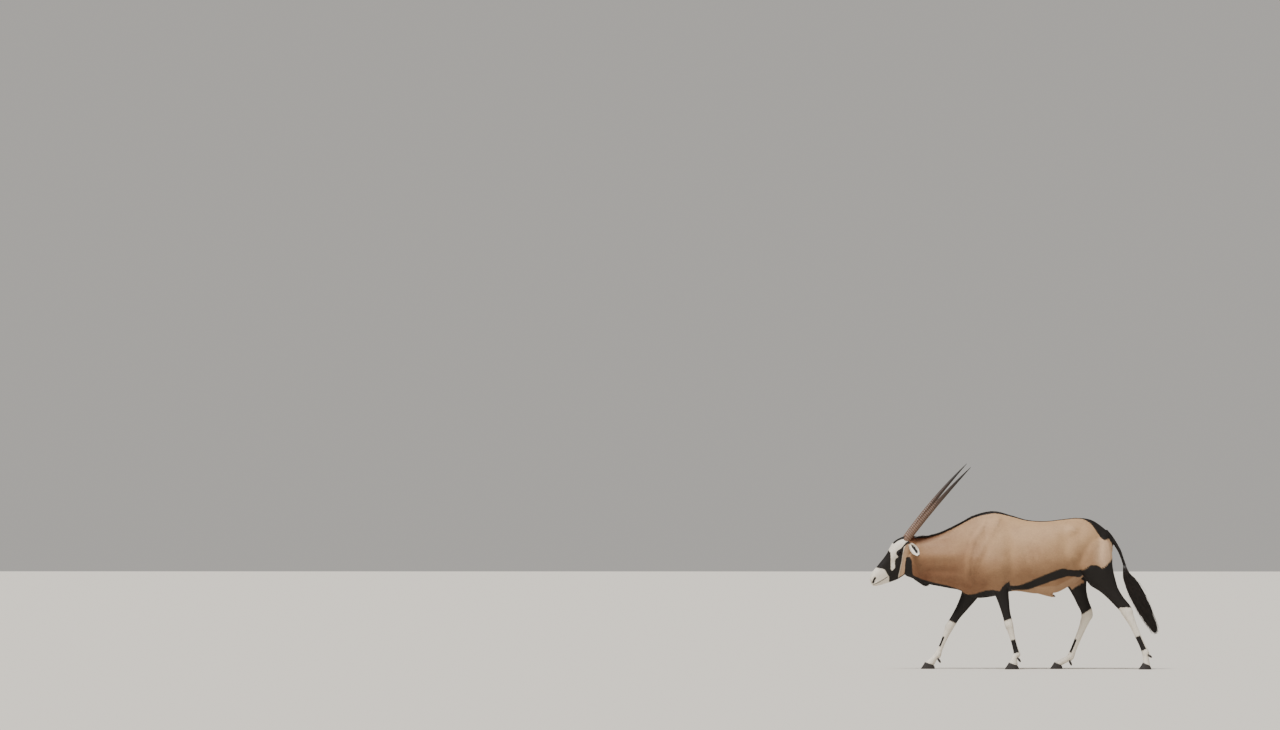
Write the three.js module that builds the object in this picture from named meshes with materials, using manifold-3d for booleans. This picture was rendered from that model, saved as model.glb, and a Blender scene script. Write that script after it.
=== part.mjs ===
// A life-size gemsbok bull, walking with its head low, as a museum model.
// Millimetres, +Z up. It looks along -X, its left side is towards -Y, and its hooves stand on Z = 0.
import * as THREE from "three";
import { mergeVertices } from "three/addons/utils/BufferGeometryUtils.js";
import Module from "manifold-3d";

const wasm = await Module();
wasm.setup();

// Driving dimensions of the animal
const WITHERS_HEIGHT = 1200;
const HEAD_PITCH = 48; // degrees that the face points below level
const HEAD_ROLL = 12; // degrees that the face turns towards the left side
const HORN_LENGTH = 750;
const HORN_RADIUS = 25;
const HORN_TIP_SPREAD = 210;
const EAR_LENGTH = 164;
const EYE_RADIUS = 18;
const FOREARM = 325;
const FORE_CANNON = 232;
const GASKIN = 364;
const HIND_CANNON = 345;
const PASTERN = 78;
const CORONET_HEIGHT = 50; // top of the hoof wall at the toe
const HEEL_HEIGHT = 26;
const CLEFT = 5; // space between the two claws of a foot
const GAP = 0.3; // between nodes that meet
const LEFT = -1;
const RIGHT = 1;

const COLOURS = {
  fawn: "#a5805f",
  brown: "#4a3022",
  black: "#17120f",
  white: "#e4dccd",
  horn: "#3a2c24",
  hoof: "#1d1a18",
  eye: "#1b100a",
};

const rad = THREE.MathUtils.degToRad;
const vec = (x, y, z) => new THREE.Vector3(x, y, z);
const signedPower = (v, p) => Math.sign(v) * Math.abs(v) ** p;
const mix = THREE.MathUtils.lerp;

// A smooth curve through rows of numbers, spaced by the distances in knots
function rowsAt(rows, knots, u) {
  const last = rows.length - 1;
  const place = Math.min(Math.max(u, 0), 1) * last;
  const i = Math.min(Math.floor(place), last - 1);
  const f = place - i;
  const span = knots[i + 1] - knots[i];
  const slope = (k, c) => {
    const a = Math.max(k - 1, 0);
    const b = Math.min(k + 1, last);
    return (rows[b][c] - rows[a][c]) / (knots[b] - knots[a]);
  };
  return rows[i].map((start, c) => {
    const end = rows[i + 1][c];
    const square = f * f;
    const cube = square * f;
    return (
      start * (2 * cube - 3 * square + 1) +
      slope(i, c) * span * (cube - 2 * square + f) +
      end * (3 * square - 2 * cube) +
      slope(i + 1, c) * span * (cube - square)
    );
  });
}

// Moves each vertex of a closed three.js geometry to the place that a function gives it
function wrapped(geometry, place) {
  const bare = new THREE.BufferGeometry();
  bare.setAttribute("position", geometry.getAttribute("position").clone());
  bare.setIndex(geometry.index);
  const merged = mergeVertices(bare, 1e-5);
  const at = merged.getAttribute("position");
  for (let i = 0; i < at.count; i++) {
    const p = place(at.getX(i), at.getY(i), at.getZ(i));
    at.setXYZ(i, p.x, p.y, p.z);
  }
  return merged;
}

// A closed mesh as a solid, with its faces turned outwards
function solid(geometry) {
  const points = geometry.getAttribute("position").array;
  const faces = new Uint32Array(geometry.index.array);
  let volume = 0;
  for (let i = 0; i < faces.length; i += 3) {
    const [a, b, c] = [0, 1, 2].map((k) => vec().fromArray(points, 3 * faces[i + k]));
    volume += a.dot(b.cross(c));
  }
  if (volume < 0) {
    for (let i = 0; i < faces.length; i += 3) {
      [faces[i + 1], faces[i + 2]] = [faces[i + 2], faces[i + 1]];
    }
  }
  return new wasm.Manifold(
    new wasm.Mesh({ numProp: 3, vertProperties: new Float32Array(points), triVerts: faces }),
  );
}

const joined = (pieces) => pieces.reduce((all, piece) => all.add(piece));

// Only the largest closed body of a solid
const largest = (made) =>
  made.decompose().reduce((best, piece) => (piece.volume() > best.volume() ? piece : best));

// A tube through sections in upright planes. A row holds the two outline points of a section in side
// view, A (top or front) and B (bottom or back), its sideways middle and half width, how far from B the
// widest place is, and how square the A and B halves are: 2 is round, less is pointed, more is square.
function tube(rows, steps, sides) {
  const knots = [0];
  for (let i = 1; i < rows.length; i++) {
    const [a, b] = [rows[i - 1], rows[i]];
    const move = Math.hypot(a[0] + a[2] - b[0] - b[2], a[1] + a[3] - b[1] - b[3]) / 2;
    knots.push(knots[i - 1] + Math.max(move, 1));
  }
  const unit = new THREE.CylinderGeometry(1, 1, 1, sides, (rows.length - 1) * steps);
  return solid(
    wrapped(unit, (x, y, z) => {
      const row = rowsAt(rows, knots, y + 0.5);
      const [ax, az, bx, bz, middle, half, widest, squareA, squareB] = row;
      const onRim = Math.hypot(x, z) > 0.5;
      const c = onRim ? z : 0;
      const s = onRim ? x : 0;
      const power = 2 / (c >= 0 ? squareA : squareB);
      const along = widest + (c >= 0 ? 1 - widest : widest) * signedPower(c, power);
      return vec(
        mix(bx, ax, along),
        middle + half * signedPower(s, power),
        mix(bz, az, along),
      );
    }),
  );
}

// A block past a slanted plane. Its lean is the angle of its way from straight down, back positive. It
// reaches so far to the front and back of the point, and lies on one side of the animal or on both.
function beyond([x, z], lean, reach, side, from, grown) {
  const wide = side ? 1000 : 3000;
  const deep = 3000;
  const block = new THREE.BoxGeometry(2 * (reach + grown), wide, deep);
  block.translate(0, side * (from - grown + wide / 2), grown - deep / 2);
  block.rotateY(-rad(lean)).translate(x, 0, z);
  return solid(wrapped(block, vec));
}

// Parts a solid at a plane: what lies past it, and the rest with a thin gap
function parted(whole, point, lean, reach = 3000, side = 0, from = 0) {
  return [
    largest(whole.intersect(beyond(point, lean, reach, side, from, 0))),
    largest(whole.subtract(beyond(point, lean, reach, side, from, GAP))),
  ];
}

const group = new THREE.Group();

// Adds a solid to the model as a named mesh with its own material
function addNode(name, made, colour, roughness = 0.85) {
  const { numProp, vertProperties, triVerts, numVert } = largest(made).getMesh();
  const points = new Float32Array(numVert * 3);
  for (let i = 0; i < numVert; i++) {
    points.set(vertProperties.subarray(i * numProp, i * numProp + 3), i * 3);
  }
  const geometry = new THREE.BufferGeometry();
  geometry.setAttribute("position", new THREE.BufferAttribute(points, 3));
  geometry.setIndex(new THREE.BufferAttribute(triVerts, 1));
  geometry.computeVertexNormals();
  const material = new THREE.MeshStandardMaterial({ color: colour, roughness, metalness: 0 });
  const mesh = new THREE.Mesh(geometry, material);
  mesh.name = name;
  group.add(mesh);
}

// Trunk and neck, from inside the head to the buttocks. Each row: top x, z, bottom x, z, middle,
// half width, widest, and the squareness of its upper and lower halves.
const TRUNK = [
  [-835, 955, -868, 780, 0, 48, 0.5, 2.0, 2.0],
  [-800, 988, -838, 712, 0, 66, 0.52, 2.0, 2.0],
  [-752, 1002, -790, 688, 0, 76, 0.52, 1.9, 1.9],
  [-670, 1008, -716, 655, 0, 84, 0.52, 1.8, 1.8],
  [-570, 1034, -630, 634, 0, 96, 0.52, 1.7, 1.8],
  [-441, 1096, -525, 614, 0, 116, 0.5, 1.6, 1.9],
  [-304, 1170, -418, 588, 0, 146, 0.46, 1.5, 2.0],
  [-167, WITHERS_HEIGHT, -305, 538, 0, 172, 0.43, 1.5, 2.0],
  [-38, 1170, -167, 548, 0, 198, 0.42, 1.7, 2.1],
  [91, 1133, -15, 588, 0, 214, 0.42, 1.9, 2.2],
  [228, 1124, 152, 570, 0, 220, 0.44, 2.0, 2.2],
  [357, 1138, 304, 576, 0, 208, 0.47, 2.0, 2.1],
  [479, 1150, 410, 628, 0, 186, 0.52, 1.9, 2.0],
  [570, 1138, 517, 699, 0, 164, 0.58, 1.8, 2.0],
  [640, 1098, 610, 770, 0, 132, 0.6, 1.8, 2.0],
  [694, 1050, 678, 820, 0, 96, 0.6, 1.9, 2.0],
  [724, 1000, 722, 864, 0, 62, 0.55, 2.0, 2.0],
  [737, 956, 736, 892, 0, 24, 0.5, 2.0, 2.0],
];

// A leg's bones in side view, from a first joint down, by their lengths and their angles from upright
function chain(x, bones) {
  const places = [[x, bones.reduce((z, [length, lean]) => z + length * Math.cos(rad(lean)), CORONET_HEIGHT)]];
  for (const [length, lean] of bones) {
    const [px, pz] = places.at(-1);
    places.push([px + length * Math.sin(rad(lean)), pz - length * Math.cos(rad(lean))]);
  }
  return places;
}

// A leg's tube along its joints, down into the hoof. A profile row: bone number, place along it, depth
// in front of and behind the bone, distance of the middle from the mid-plane, half width, squareness.
function limb(leg, steps, sides) {
  const { joints, profile, side } = leg;
  const bones = joints.slice(1).map(([x, z], i) =>
    new THREE.Vector2(x - joints[i][0], z - joints[i][1]).normalize(),
  );
  const rows = profile.map(([bone, along, front, back, out, half, square]) => {
    const way = bones[bone].clone();
    if (bone > 0) way.addScaledVector(bones[bone - 1], Math.max(1 - along / 0.3, 0));
    if (bone < 2) way.addScaledVector(bones[bone + 1], Math.max(1 - (1 - along) / 0.3, 0));
    way.normalize();
    const x = mix(joints[bone][0], joints[bone + 1][0], along);
    const z = mix(joints[bone][1], joints[bone + 1][1], along);
    const ahead = new THREE.Vector2(way.y, -way.x);
    const widest = mix(0.5, back / (front + back), 0.5);
    const near = [x + ahead.x * front, z + ahead.y * front];
    return [...near, x - ahead.x * back, z - ahead.y * back, side * out, half, widest, square, square];
  });
  const [toe, heel] = coronet(leg);
  const low = rows.at(-1);
  const foot = (a, b, half) => [...a, ...b, side * leg.out, half, 0.5, 2.3, 2.3];
  const above = [0, 1, 2, 3].map((k) => mix(low[k], [...toe, ...heel][k], 0.6));
  rows.push(foot([above[0] - 1, above[1]], [above[2] + 2, above[3]], leg.width - 4));
  rows.push(foot(toe, heel, leg.width));
  rows.push(foot([toe[0] - 14, toe[1] - 22], [heel[0] + 4, heel[1] - 18], leg.width));
  return tube(rows, steps, sides);
}

// The front and back of the line where hair meets hoof, in side view
function coronet({ toe, length }) {
  return [[toe + 33, CORONET_HEIGHT], [toe + length - 8, HEEL_HEIGHT]];
}

const SHOULDER_TOP = [-112, 1118];
const FORE_PROFILE = [
  [0, 0.0, 34, 38, 58, 26, 2.0],
  [0, 0.22, 78, 84, 78, 54, 2.0],
  [0, 0.48, 112, 112, 100, 70, 2.0],
  [0, 0.74, 128, 96, 112, 74, 2.0],
  [1, 0.0, 84, 76, 112, 62, 2.0],
  [1, 0.18, 58, 68, 109, 50, 2.0],
  [1, 0.42, 42, 53, 106, 38, 2.0],
  [1, 0.72, 34, 36, 104, 30, 2.0],
  [1, 0.9, 33, 34, 103, 31, 2.2],
  [2, 0.03, 35, 33, 103, 32, 2.3],
  [2, 0.18, 28, 29, 102, 26, 2.2],
  [2, 0.5, 21, 23, 101, 20, 2.2],
  [2, 0.82, 21, 24, 101, 20, 2.2],
  [3, 0.0, 27, 31, 101, 27, 2.2],
  [3, 0.35, 23, 26, 101, 27, 2.2],
];
const HIND_PROFILE = [
  [0, 0.0, 70, 64, 66, 36, 2.0],
  [0, 0.2, 112, 112, 84, 68, 2.0],
  [0, 0.48, 118, 142, 96, 82, 2.0],
  [0, 0.76, 104, 150, 102, 82, 2.0],
  [1, 0.12, 64, 148, 107, 66, 2.0],
  [1, 0.32, 43, 124, 108, 52, 2.0],
  [1, 0.52, 36, 84, 108, 40, 2.0],
  [1, 0.74, 36, 62, 108, 32, 2.0],
  [1, 0.92, 38, 56, 108, 30, 2.0],
  [2, 0.04, 42, 50, 108, 31, 2.1],
  [2, 0.14, 36, 42, 108, 28, 2.1],
  [2, 0.3, 27, 34, 108, 25, 2.1],
  [2, 0.56, 24, 29, 107, 21, 2.2],
  [2, 0.82, 23, 27, 106, 20, 2.2],
  [3, 0.0, 28, 31, 106, 27, 2.2],
  [3, 0.35, 22, 26, 106, 26, 2.2],
];

// How each leg stands in its stride: the elbow's or stifle's place, then every bone's lean, back
// positive (degrees), and the front of the hoof. Its cut from the trunk: place along the upper bone,
// lean of the cut's way, and reach.
const LEGS = {
  fore_left: { side: LEFT, x: -128, leans: [14.4, 14.5, -34], toe: -82, cut: [0.39, 0, 150] },
  fore_right: { side: RIGHT, x: -330, leans: [-31.2, -23.5, -42], toe: -719, cut: [0.3, -31, 300] },
  hind_left: { side: LEFT, x: 584, leans: [44.4, 24.5, 2], toe: 930, cut: [0.3, 44, 300] },
  hind_right: { side: RIGHT, x: 386, leans: [26, -22, -58], toe: 262, cut: [0.42, 26, 420] },
};
for (const [name, leg] of Object.entries(LEGS)) {
  leg.fore = name.startsWith("fore");
  const lengths = leg.fore ? [FOREARM, FORE_CANNON, PASTERN] : [GASKIN, HIND_CANNON, PASTERN];
  const top = leg.fore ? SHOULDER_TOP : [leg.x / 5 + 480, 1030];
  leg.joints = [top, ...chain(leg.x, lengths.map((length, i) => [length, leg.leans[i]]))];
  leg.profile = leg.fore ? FORE_PROFILE : HIND_PROFILE;
  leg.out = leg.fore ? 101 : 106;
  leg.width = leg.fore ? 36 : 34;
  leg.length = leg.fore ? 110 : 98;
}

// The head's own frame: s runs from the poll to the nose, h towards the forehead, r to the right
const POLL = vec(-806, 0, 996);
const HEAD_MIDDLE = -75; // h of the line that the head is rolled about
const noseWay = vec(-Math.cos(rad(HEAD_PITCH)), 0, -Math.sin(rad(HEAD_PITCH)));
const frontFlat = vec(-Math.sin(rad(HEAD_PITCH)), 0, Math.cos(rad(HEAD_PITCH)));
const frontWay = frontFlat.clone().applyAxisAngle(noseWay, -rad(HEAD_ROLL));
const rightWay = vec(0, 1, 0).applyAxisAngle(noseWay, -rad(HEAD_ROLL));
const headPoint = (s, h, r) =>
  POLL.clone()
    .addScaledVector(noseWay, s)
    .addScaledVector(frontFlat, HEAD_MIDDLE)
    .addScaledVector(frontWay, h - HEAD_MIDDLE)
    .addScaledVector(rightWay, r);
const headWay = (s, h, r) => headPoint(s, h, r).sub(headPoint(0, 0, 0));

// Head sections: s, upper and lower edge h, half width, widest place, squareness above and below
const HEAD = [
  [-25, 0, -115, 38, 0.55, 2.0, 2.0],
  [10, 32, -140, 62, 0.62, 2.2, 2.0],
  [60, 58, -156, 75, 0.66, 2.4, 1.9],
  [110, 67, -168, 79, 0.68, 2.5, 1.8],
  [150, 60, -174, 77, 0.7, 2.5, 1.8],
  [190, 49, -174, 68, 0.68, 2.3, 1.7],
  [235, 43, -166, 59, 0.62, 2.2, 1.8],
  [290, 40, -150, 51, 0.58, 2.2, 2.0],
  [340, 37, -124, 45, 0.55, 2.3, 2.1],
  [375, 36, -102, 44, 0.54, 2.4, 2.2],
  [405, 28, -84, 45, 0.54, 2.4, 2.2],
  [428, 12, -67, 40, 0.52, 2.3, 2.2],
  [444, -8, -54, 27, 0.5, 2.1, 2.1],
  [450, -24, -42, 10, 0.5, 2.0, 2.0],
];
const EYE_PLACE = [135, -10, 62];
const NOSTRIL_TOP = [397, -4, 39];
const NOSTRIL_END = [432, -13, 28];
const MOUTH = [
  [446, -34, 0],
  [438, -34, 26],
  [405, -47, 44],
  [360, -63, 44],
  [322, -68, 50],
];

// A round-ended bar between two places of the head
function pill(from, to, radius, squash = 1, around = 8) {
  const way = to.clone().sub(from);
  const unit = new THREE.SphereGeometry(1, around, 6);
  const turn = new THREE.Quaternion().setFromUnitVectors(vec(0, 1, 0), way.clone().normalize());
  const middle = from.clone().add(to).multiplyScalar(0.5);
  const reach = way.length() / 2 + radius;
  return solid(
    wrapped(unit, (x, y, z) =>
      vec(x * radius, y * reach, z * radius * squash).applyQuaternion(turn).add(middle),
    ),
  );
}

function ball(centre, radius, around, down) {
  const unit = new THREE.SphereGeometry(1, around, down);
  return solid(wrapped(unit, (x, y, z) => vec(x, y, z).multiplyScalar(radius).add(centre)));
}

// The head: skull and jaw, brows, lids round the eyes, nostrils, and lips parted by the mouth's line
function head() {
  const unit = new THREE.CylinderGeometry(1, 1, 1, 20, (HEAD.length - 1) * 2);
  const knots = HEAD.map((row) => row[0]);
  let made = solid(
    wrapped(unit, (x, y, z) => {
      const row = rowsAt(HEAD, knots, y + 0.5);
      const [s, upper, lower, half, widest, squareUp, squareDown] = row;
      const onRim = Math.hypot(x, z) > 0.5;
      const c = onRim ? z : 0;
      const power = 2 / (c >= 0 ? squareUp : squareDown);
      const along = widest + (c >= 0 ? 1 - widest : widest) * signedPower(c, power);
      return headPoint(s, mix(lower, upper, along), half * signedPower(onRim ? x : 0, power));
    }),
  );
  for (const side of [LEFT, RIGHT]) {
    const [s, h, r] = EYE_PLACE;
    const eye = headPoint(s, h, side * r);
    const brow = pill(headPoint(s - 26, h + 24, side * 62), headPoint(s + 20, h + 22, side * 58), 17);
    const lids = ball(eye, EYE_RADIUS + 4, 12, 8);
    made = made.add(brow).add(lids);
    made = made.subtract(ball(eye, EYE_RADIUS + GAP, 12, 8)).subtract(lidOpening(side));
    const wing = pill(
      headPoint(NOSTRIL_TOP[0] + 4, NOSTRIL_TOP[1] + 14, side * 30),
      headPoint(NOSTRIL_END[0] - 4, NOSTRIL_END[1] + 10, side * 20),
      11,
    );
    made = made.add(wing);
    const slit = pill(
      headPoint(NOSTRIL_TOP[0], NOSTRIL_TOP[1], side * (NOSTRIL_TOP[2] + 5)),
      headPoint(NOSTRIL_END[0], NOSTRIL_END[1], side * (NOSTRIL_END[2] + 3)),
      7,
      0.8,
    );
    made = made.subtract(slit);
  }
  return made.subtract(mouthLine());
}

// The almond opening between the lids, cut out along the way that the eye looks
function lidOpening(side) {
  const [s, h, r] = EYE_PLACE;
  const shape = new THREE.Shape();
  const long = 17;
  const high = 11;
  shape.moveTo(-long, -2);
  shape.quadraticCurveTo(-long / 3, high * 1.5, long, 2);
  shape.quadraticCurveTo(long / 3, -high * 1.4, -long, -2);
  const bar = new THREE.ExtrudeGeometry(shape, { depth: 30, bevelEnabled: false, curveSegments: 5 });
  return solid(
    wrapped(mergeVertices(bar.deleteAttribute("normal").deleteAttribute("uv")), (x, y, z) =>
      headPoint(s + x, h + y, side * (r + 2 + z)),
    ),
  );
}

// A thin curved wedge that parts the lips from one corner of the mouth round to the other
function mouthLine() {
  const depth = 9;
  const thick = 3;
  const round = [...MOUTH].reverse().map(([s, h, r]) => [s, h, -r]);
  const rim = [...round, ...MOUTH.slice(1)];
  const knots = rim.map((row, i) => i);
  const unit = new THREE.BoxGeometry(1, 1, 1, (rim.length - 1) * 2, 1, 1);
  return solid(
    wrapped(unit, (x, y, z) => {
      const [s, h, r] = rowsAt(rim, knots, x + 0.5);
      const deep = z < 0 ? 1 - depth / 46 : 1.25;
      const outward = (deep - 1) * 46;
      const ahead = s > 400 ? outward * 0.8 : 0;
      return headPoint(s + ahead, h + y * thick * (z < 0 ? 0.3 : 1.6), r * deep);
    }),
  );
}

// A horn's middle line in the head's frame, from its base (0) to its point (1)
function hornPlace(side, t) {
  const rise = HORN_LENGTH * (0.1 * t - 0.0705 * t * t);
  const spread = (HORN_TIP_SPREAD / 2 - 34) * (1.7 * t - 0.7 * t * t);
  return [38 - HORN_LENGTH * t, 9 + rise, side * (34 + spread)];
}

// A horn: a long straight taper, ringed over its lower half, with its base sunk in the head
function horn(side, grown) {
  const rings = 15;
  const steps = 37;
  const sunk = 0.035;
  const unit = new THREE.CylinderGeometry(1, 1, 1, 8, steps);
  return solid(
    wrapped(unit, (x, y, z) => {
      const step = Math.round((0.5 - y) * steps);
      const place = step <= 2 * rings ? (0.56 * step) / (2 * rings) : 0;
      const t = step <= 2 * rings ? place : 0.56 + (0.44 * (step - 2 * rings)) / (steps - 2 * rings);
      const ridge = t < 0.56 ? (step % 2 ? 1.5 : -1.5) * (1 - t) : 0;
      const along = step === 0 ? -sunk - grown / HORN_LENGTH : t;
      const [s, h, r] = hornPlace(side, along);
      const taper = HORN_RADIUS * (1 - 0.55 * Math.max(along, 0) - 0.37 * along ** 4);
      const size = taper + ridge + grown;
      return headPoint(s, h + z * size, r + x * size);
    }),
  );
}

// Where an ear grows from the head, and its ways: along the ear, and out of its open side
function earFrame(side) {
  const root = headPoint(28, -27, side * 63);
  const way = headWay(0.133, -0.519, side * 0.842).normalize();
  const open = headWay(-0.15, 0.82, side * 0.54);
  open.addScaledVector(way, -open.dot(way)).normalize();
  return { root, way, open };
}

// The round root of an ear, sunk in the head
function earRoot(side, grown) {
  const { root, way } = earFrame(side);
  const [inner, outer] = [-3, 15].map((along) => root.clone().addScaledVector(way, along));
  return pill(inner, outer, 14 + grown, 1, 10);
}

// An ear: a cupped leaf on its round root. Its length runs out, down and back.
function ear(side) {
  const { root, way, open } = earFrame(side);
  const across = way.clone().cross(open).multiplyScalar(side);
  const unit = new THREE.BoxGeometry(1, 1, 1, 5, 1, 7);
  const leaf = solid(
    wrapped(unit, (x, y, z) => {
      const t = z + 0.5;
      const swell = Math.sin(Math.PI * Math.min(t, 0.97) ** 0.82) ** 0.8;
      const half = mix(15, 6, t) + 27 * swell;
      const cup = mix(2.3, 0.5, Math.min(t * 1.3, 1));
      const turn = 2 * x * cup;
      const bend = half / cup;
      const reach = bend + y * mix(5.5, 2.6, t);
      const point = root.clone().addScaledVector(way, mix(6, EAR_LENGTH, t));
      point.addScaledVector(across, Math.sin(turn) * reach);
      point.addScaledVector(open, bend - Math.cos(turn) * reach + 8 * t * t);
      return point;
    }),
  );
  return leaf.add(earRoot(side, 0));
}

// One of a foot's two claws: flat sole, sloping toe wall, tilted top edge, flat towards the cleft
function claw(leg, way) {
  const [toe, heel] = coronet(leg);
  const middle = leg.side * leg.out + way * (leg.width / 2 + 1);
  const half = leg.width / 2 + 2;
  const lift = GAP;
  const rows = [
    [toe[0] - 1, toe[1] - lift, heel[0] - 1, heel[1] - lift, middle, half - 3, 0.42, 2.1, 2.4],
    [toe[0] - 10, toe[1] - 16, heel[0] + 4, heel[1] - 8, middle, half - 1, 0.42, 2.0, 2.5],
    [leg.toe + 3, 5, leg.toe + leg.length - 1, 4, middle, half + 1, 0.42, 1.8, 2.5],
    [leg.toe + 2, 0, leg.toe + leg.length - 2, 0, middle, half, 0.42, 1.8, 2.5],
  ];
  const wall = new THREE.BoxGeometry(400, 100, 200);
  wall.translate(leg.toe, leg.side * leg.out + way * (CLEFT / 2 + 50), 0);
  return tube(rows, 1, 14).intersect(solid(wrapped(wall, vec)));
}

// One of the two small claws behind a fetlock
function dewclaw(leg, way, grown) {
  const [, , , fetlock, foot] = leg.joints;
  const along = new THREE.Vector2(foot[0] - fetlock[0], foot[1] - fetlock[1]).normalize();
  const behind = new THREE.Vector2(-along.y, along.x);
  const x = fetlock[0] + along.x * 20 + behind.x * 24;
  const z = fetlock[1] + along.y * 20 + behind.y * 24;
  const side = leg.side * leg.out + way * 15;
  const root = vec(x, side, z);
  const tip = vec(x + 22 * behind.x + 8, side + way * 3, z + 22 * behind.y - 14);
  return pill(root, tip, 10 + grown, 1, 6);
}

// A flat lock of hair from its root over a bend to its point. Its flat faces lie along across.
function lock(root, bend, tip, across, width, thick) {
  const path = new THREE.QuadraticBezierCurve3(root, bend, tip);
  const unit = new THREE.BoxGeometry(1, 1, 1, 1, 1, 4);
  return solid(
    wrapped(unit, (x, y, z) => {
      const t = z + 0.5;
      const way = path.getTangent(t);
      const flat = across.clone().addScaledVector(way, -across.dot(way)).normalize();
      const out = flat.clone().cross(way);
      const wide = width * (0.75 + 0.9 * t * (1 - t)) * (1 - 0.94 * t ** 2.2);
      const deep = thick * (1 - 0.75 * t);
      return path.getPoint(t).addScaledVector(flat, x * wide).addScaledVector(out, y * deep);
    }),
  );
}

// Body: everything of flesh in one piece, parted afterwards
const TRUNK_STEPS = 2;
let body = tube(TRUNK, TRUNK_STEPS, 28).add(head());
for (const leg of Object.values(LEGS)) body = body.add(limb(leg, 2, 10));
const SHEATH = [
  [160, 600, 150, 560, 0, 16, 0.5, 2, 2],
  [230, 590, 222, 556, 0, 20, 0.5, 2, 2],
  [288, 572, 280, 544, 0, 13, 0.5, 2, 2],
  [300, 560, 294, 544, 0, 6, 0.5, 2, 2],
];
body = body.add(tube(SHEATH, 2, 10));
const SCROTUM = [
  [562, 752, 636, 770, 0, 26, 0.5, 2, 2],
  [578, 712, 632, 716, 0, 27, 0.5, 2, 2],
  [586, 686, 628, 688, 0, 25, 0.5, 2, 2],
  [598, 668, 618, 669, 0, 10, 0.5, 2, 2],
];
body = body.add(tube(SCROTUM, 2, 12));

// Legs: forearm or gaskin, cannon with pastern, two hooves, and two dewclaws
for (const [name, leg] of Object.entries(LEGS)) {
  const [, first, second] = leg.joints;
  const [place, lean, reach] = leg.cut;
  const cut = [mix(first[0], second[0], place), mix(first[1], second[1], place)];
  let part;
  [part, body] = parted(body, cut, lean, reach, leg.side, 28);
  const kneeLean = (leg.leans[0] + leg.leans[1]) / 2;
  let [lower, upper] = parted(part, second, kneeLean);
  const [toe, heel] = coronet(leg);
  const tilt = THREE.MathUtils.radToDeg(Math.atan2(heel[1] - toe[1], heel[0] - toe[0]));
  lower = parted(lower, toe, tilt)[1];
  for (const [which, way] of [["outer", leg.side], ["inner", -leg.side]]) {
    lower = lower.subtract(dewclaw(leg, way, GAP));
    addNode(`${name}_hoof_${which}`, claw(leg, way), COLOURS.hoof, 0.5);
    addNode(`${name}_dewclaw_${which}`, dewclaw(leg, way, 0), COLOURS.hoof, 0.5);
  }
  addNode(`${name}_${leg.fore ? "forearm" : "gaskin"}`, upper, COLOURS.black);
  addNode(`${name}_cannon`, lower, COLOURS.white);
}

// Tail: dock rooted in the rump, and brush
const TAIL = [
  [694, 1062, 672, 1030, 0, 20, 0.5, 2, 2],
  [726, 1028, 700, 1004, 0, 19, 0.5, 2, 2],
  [765, 972, 738, 950, 0, 16, 0.5, 2, 2],
  [802, 904, 775, 890, 0, 14, 0.5, 2, 2],
  [828, 830, 802, 822, 0, 13, 0.5, 2, 2],
  [841.8, 789.8, 813.2, 783.6, 0, 14, 0.5, 2, 2],
];
// The brush: middle x, z, half depth and half width down its length, which starts where the dock ends
const BRUSH = [
  [827.5, 786.7, 14.5, 14],
  [844, 713, 34, 24],
  [886, 636, 54, 32],
  [922, 562, 58, 34],
  [960, 487, 54, 33],
  [1002, 402, 46, 28],
  [1042, 326, 42, 22],
  [1072, 258, 34, 16],
];
const BRUSH_CORE = 0.48; // how far down the brush its core reaches
const BRUSH_TIERS = [ // locks in a ring: count, first turn, how far down they start and end
  [6, 0.2, 0.05, 0.55],
  [6, 0.7, 0.24, 0.8],
  [8, 0.1, 0.4, 1],
];

// A point of the brush: how far down, the turn round its middle, and how far out (1 is its outline)
function brushPoint(down, turn, out) {
  const knots = BRUSH.map((row, i) => i);
  const [x, z, deep, wide] = rowsAt(BRUSH, knots, down);
  const next = rowsAt(BRUSH, knots, down + 0.02);
  const last = rowsAt(BRUSH, knots, down - 0.02);
  const way = vec(next[0] - last[0], 0, next[1] - last[1]).normalize();
  const depth = vec(-way.z, 0, way.x).multiplyScalar(deep * out * Math.cos(turn));
  return vec(x, wide * out * Math.sin(turn), z).add(depth);
}

// The brush: a core down half of it, and flat locks in rings that overlap and end in loose points
function brush() {
  const unit = new THREE.CylinderGeometry(1, 1, 1, 9, 6);
  let made = solid(
    wrapped(unit, (x, y, z) => {
      const down = 0.5 - y;
      const out = Math.hypot(x, z) * (down ? 0.72 : 1) * (1 - 0.6 * down ** 3);
      return brushPoint(down * BRUSH_CORE, Math.atan2(x, z), out);
    }),
  );
  for (const [count, first, top, bottom] of BRUSH_TIERS) {
    for (let i = 0; i < count; i++) {
      const turn = first + (2 * Math.PI * i) / count;
      const end = bottom - (bottom < 1 ? 0.1 : 0.14) * ((i * 0.62) % 1);
      const start = top + 0.05 * ((i * 0.38) % 1);
      const root = brushPoint(start, turn, 0.42);
      const bend = brushPoint(mix(start, end, 0.45), turn, bottom < 1 ? 1.35 : 1.1);
      const tip = brushPoint(end, turn + 0.25, bottom < 1 ? 0.95 : 0.5 + 0.6 * ((i * 0.38) % 1));
      const across = vec(-Math.sin(turn), Math.cos(turn), 0);
      made = made.add(lock(root, bend, tip, across, bottom < 1 ? 40 : 32, 9));
    }
  }
  return made;
}

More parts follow.
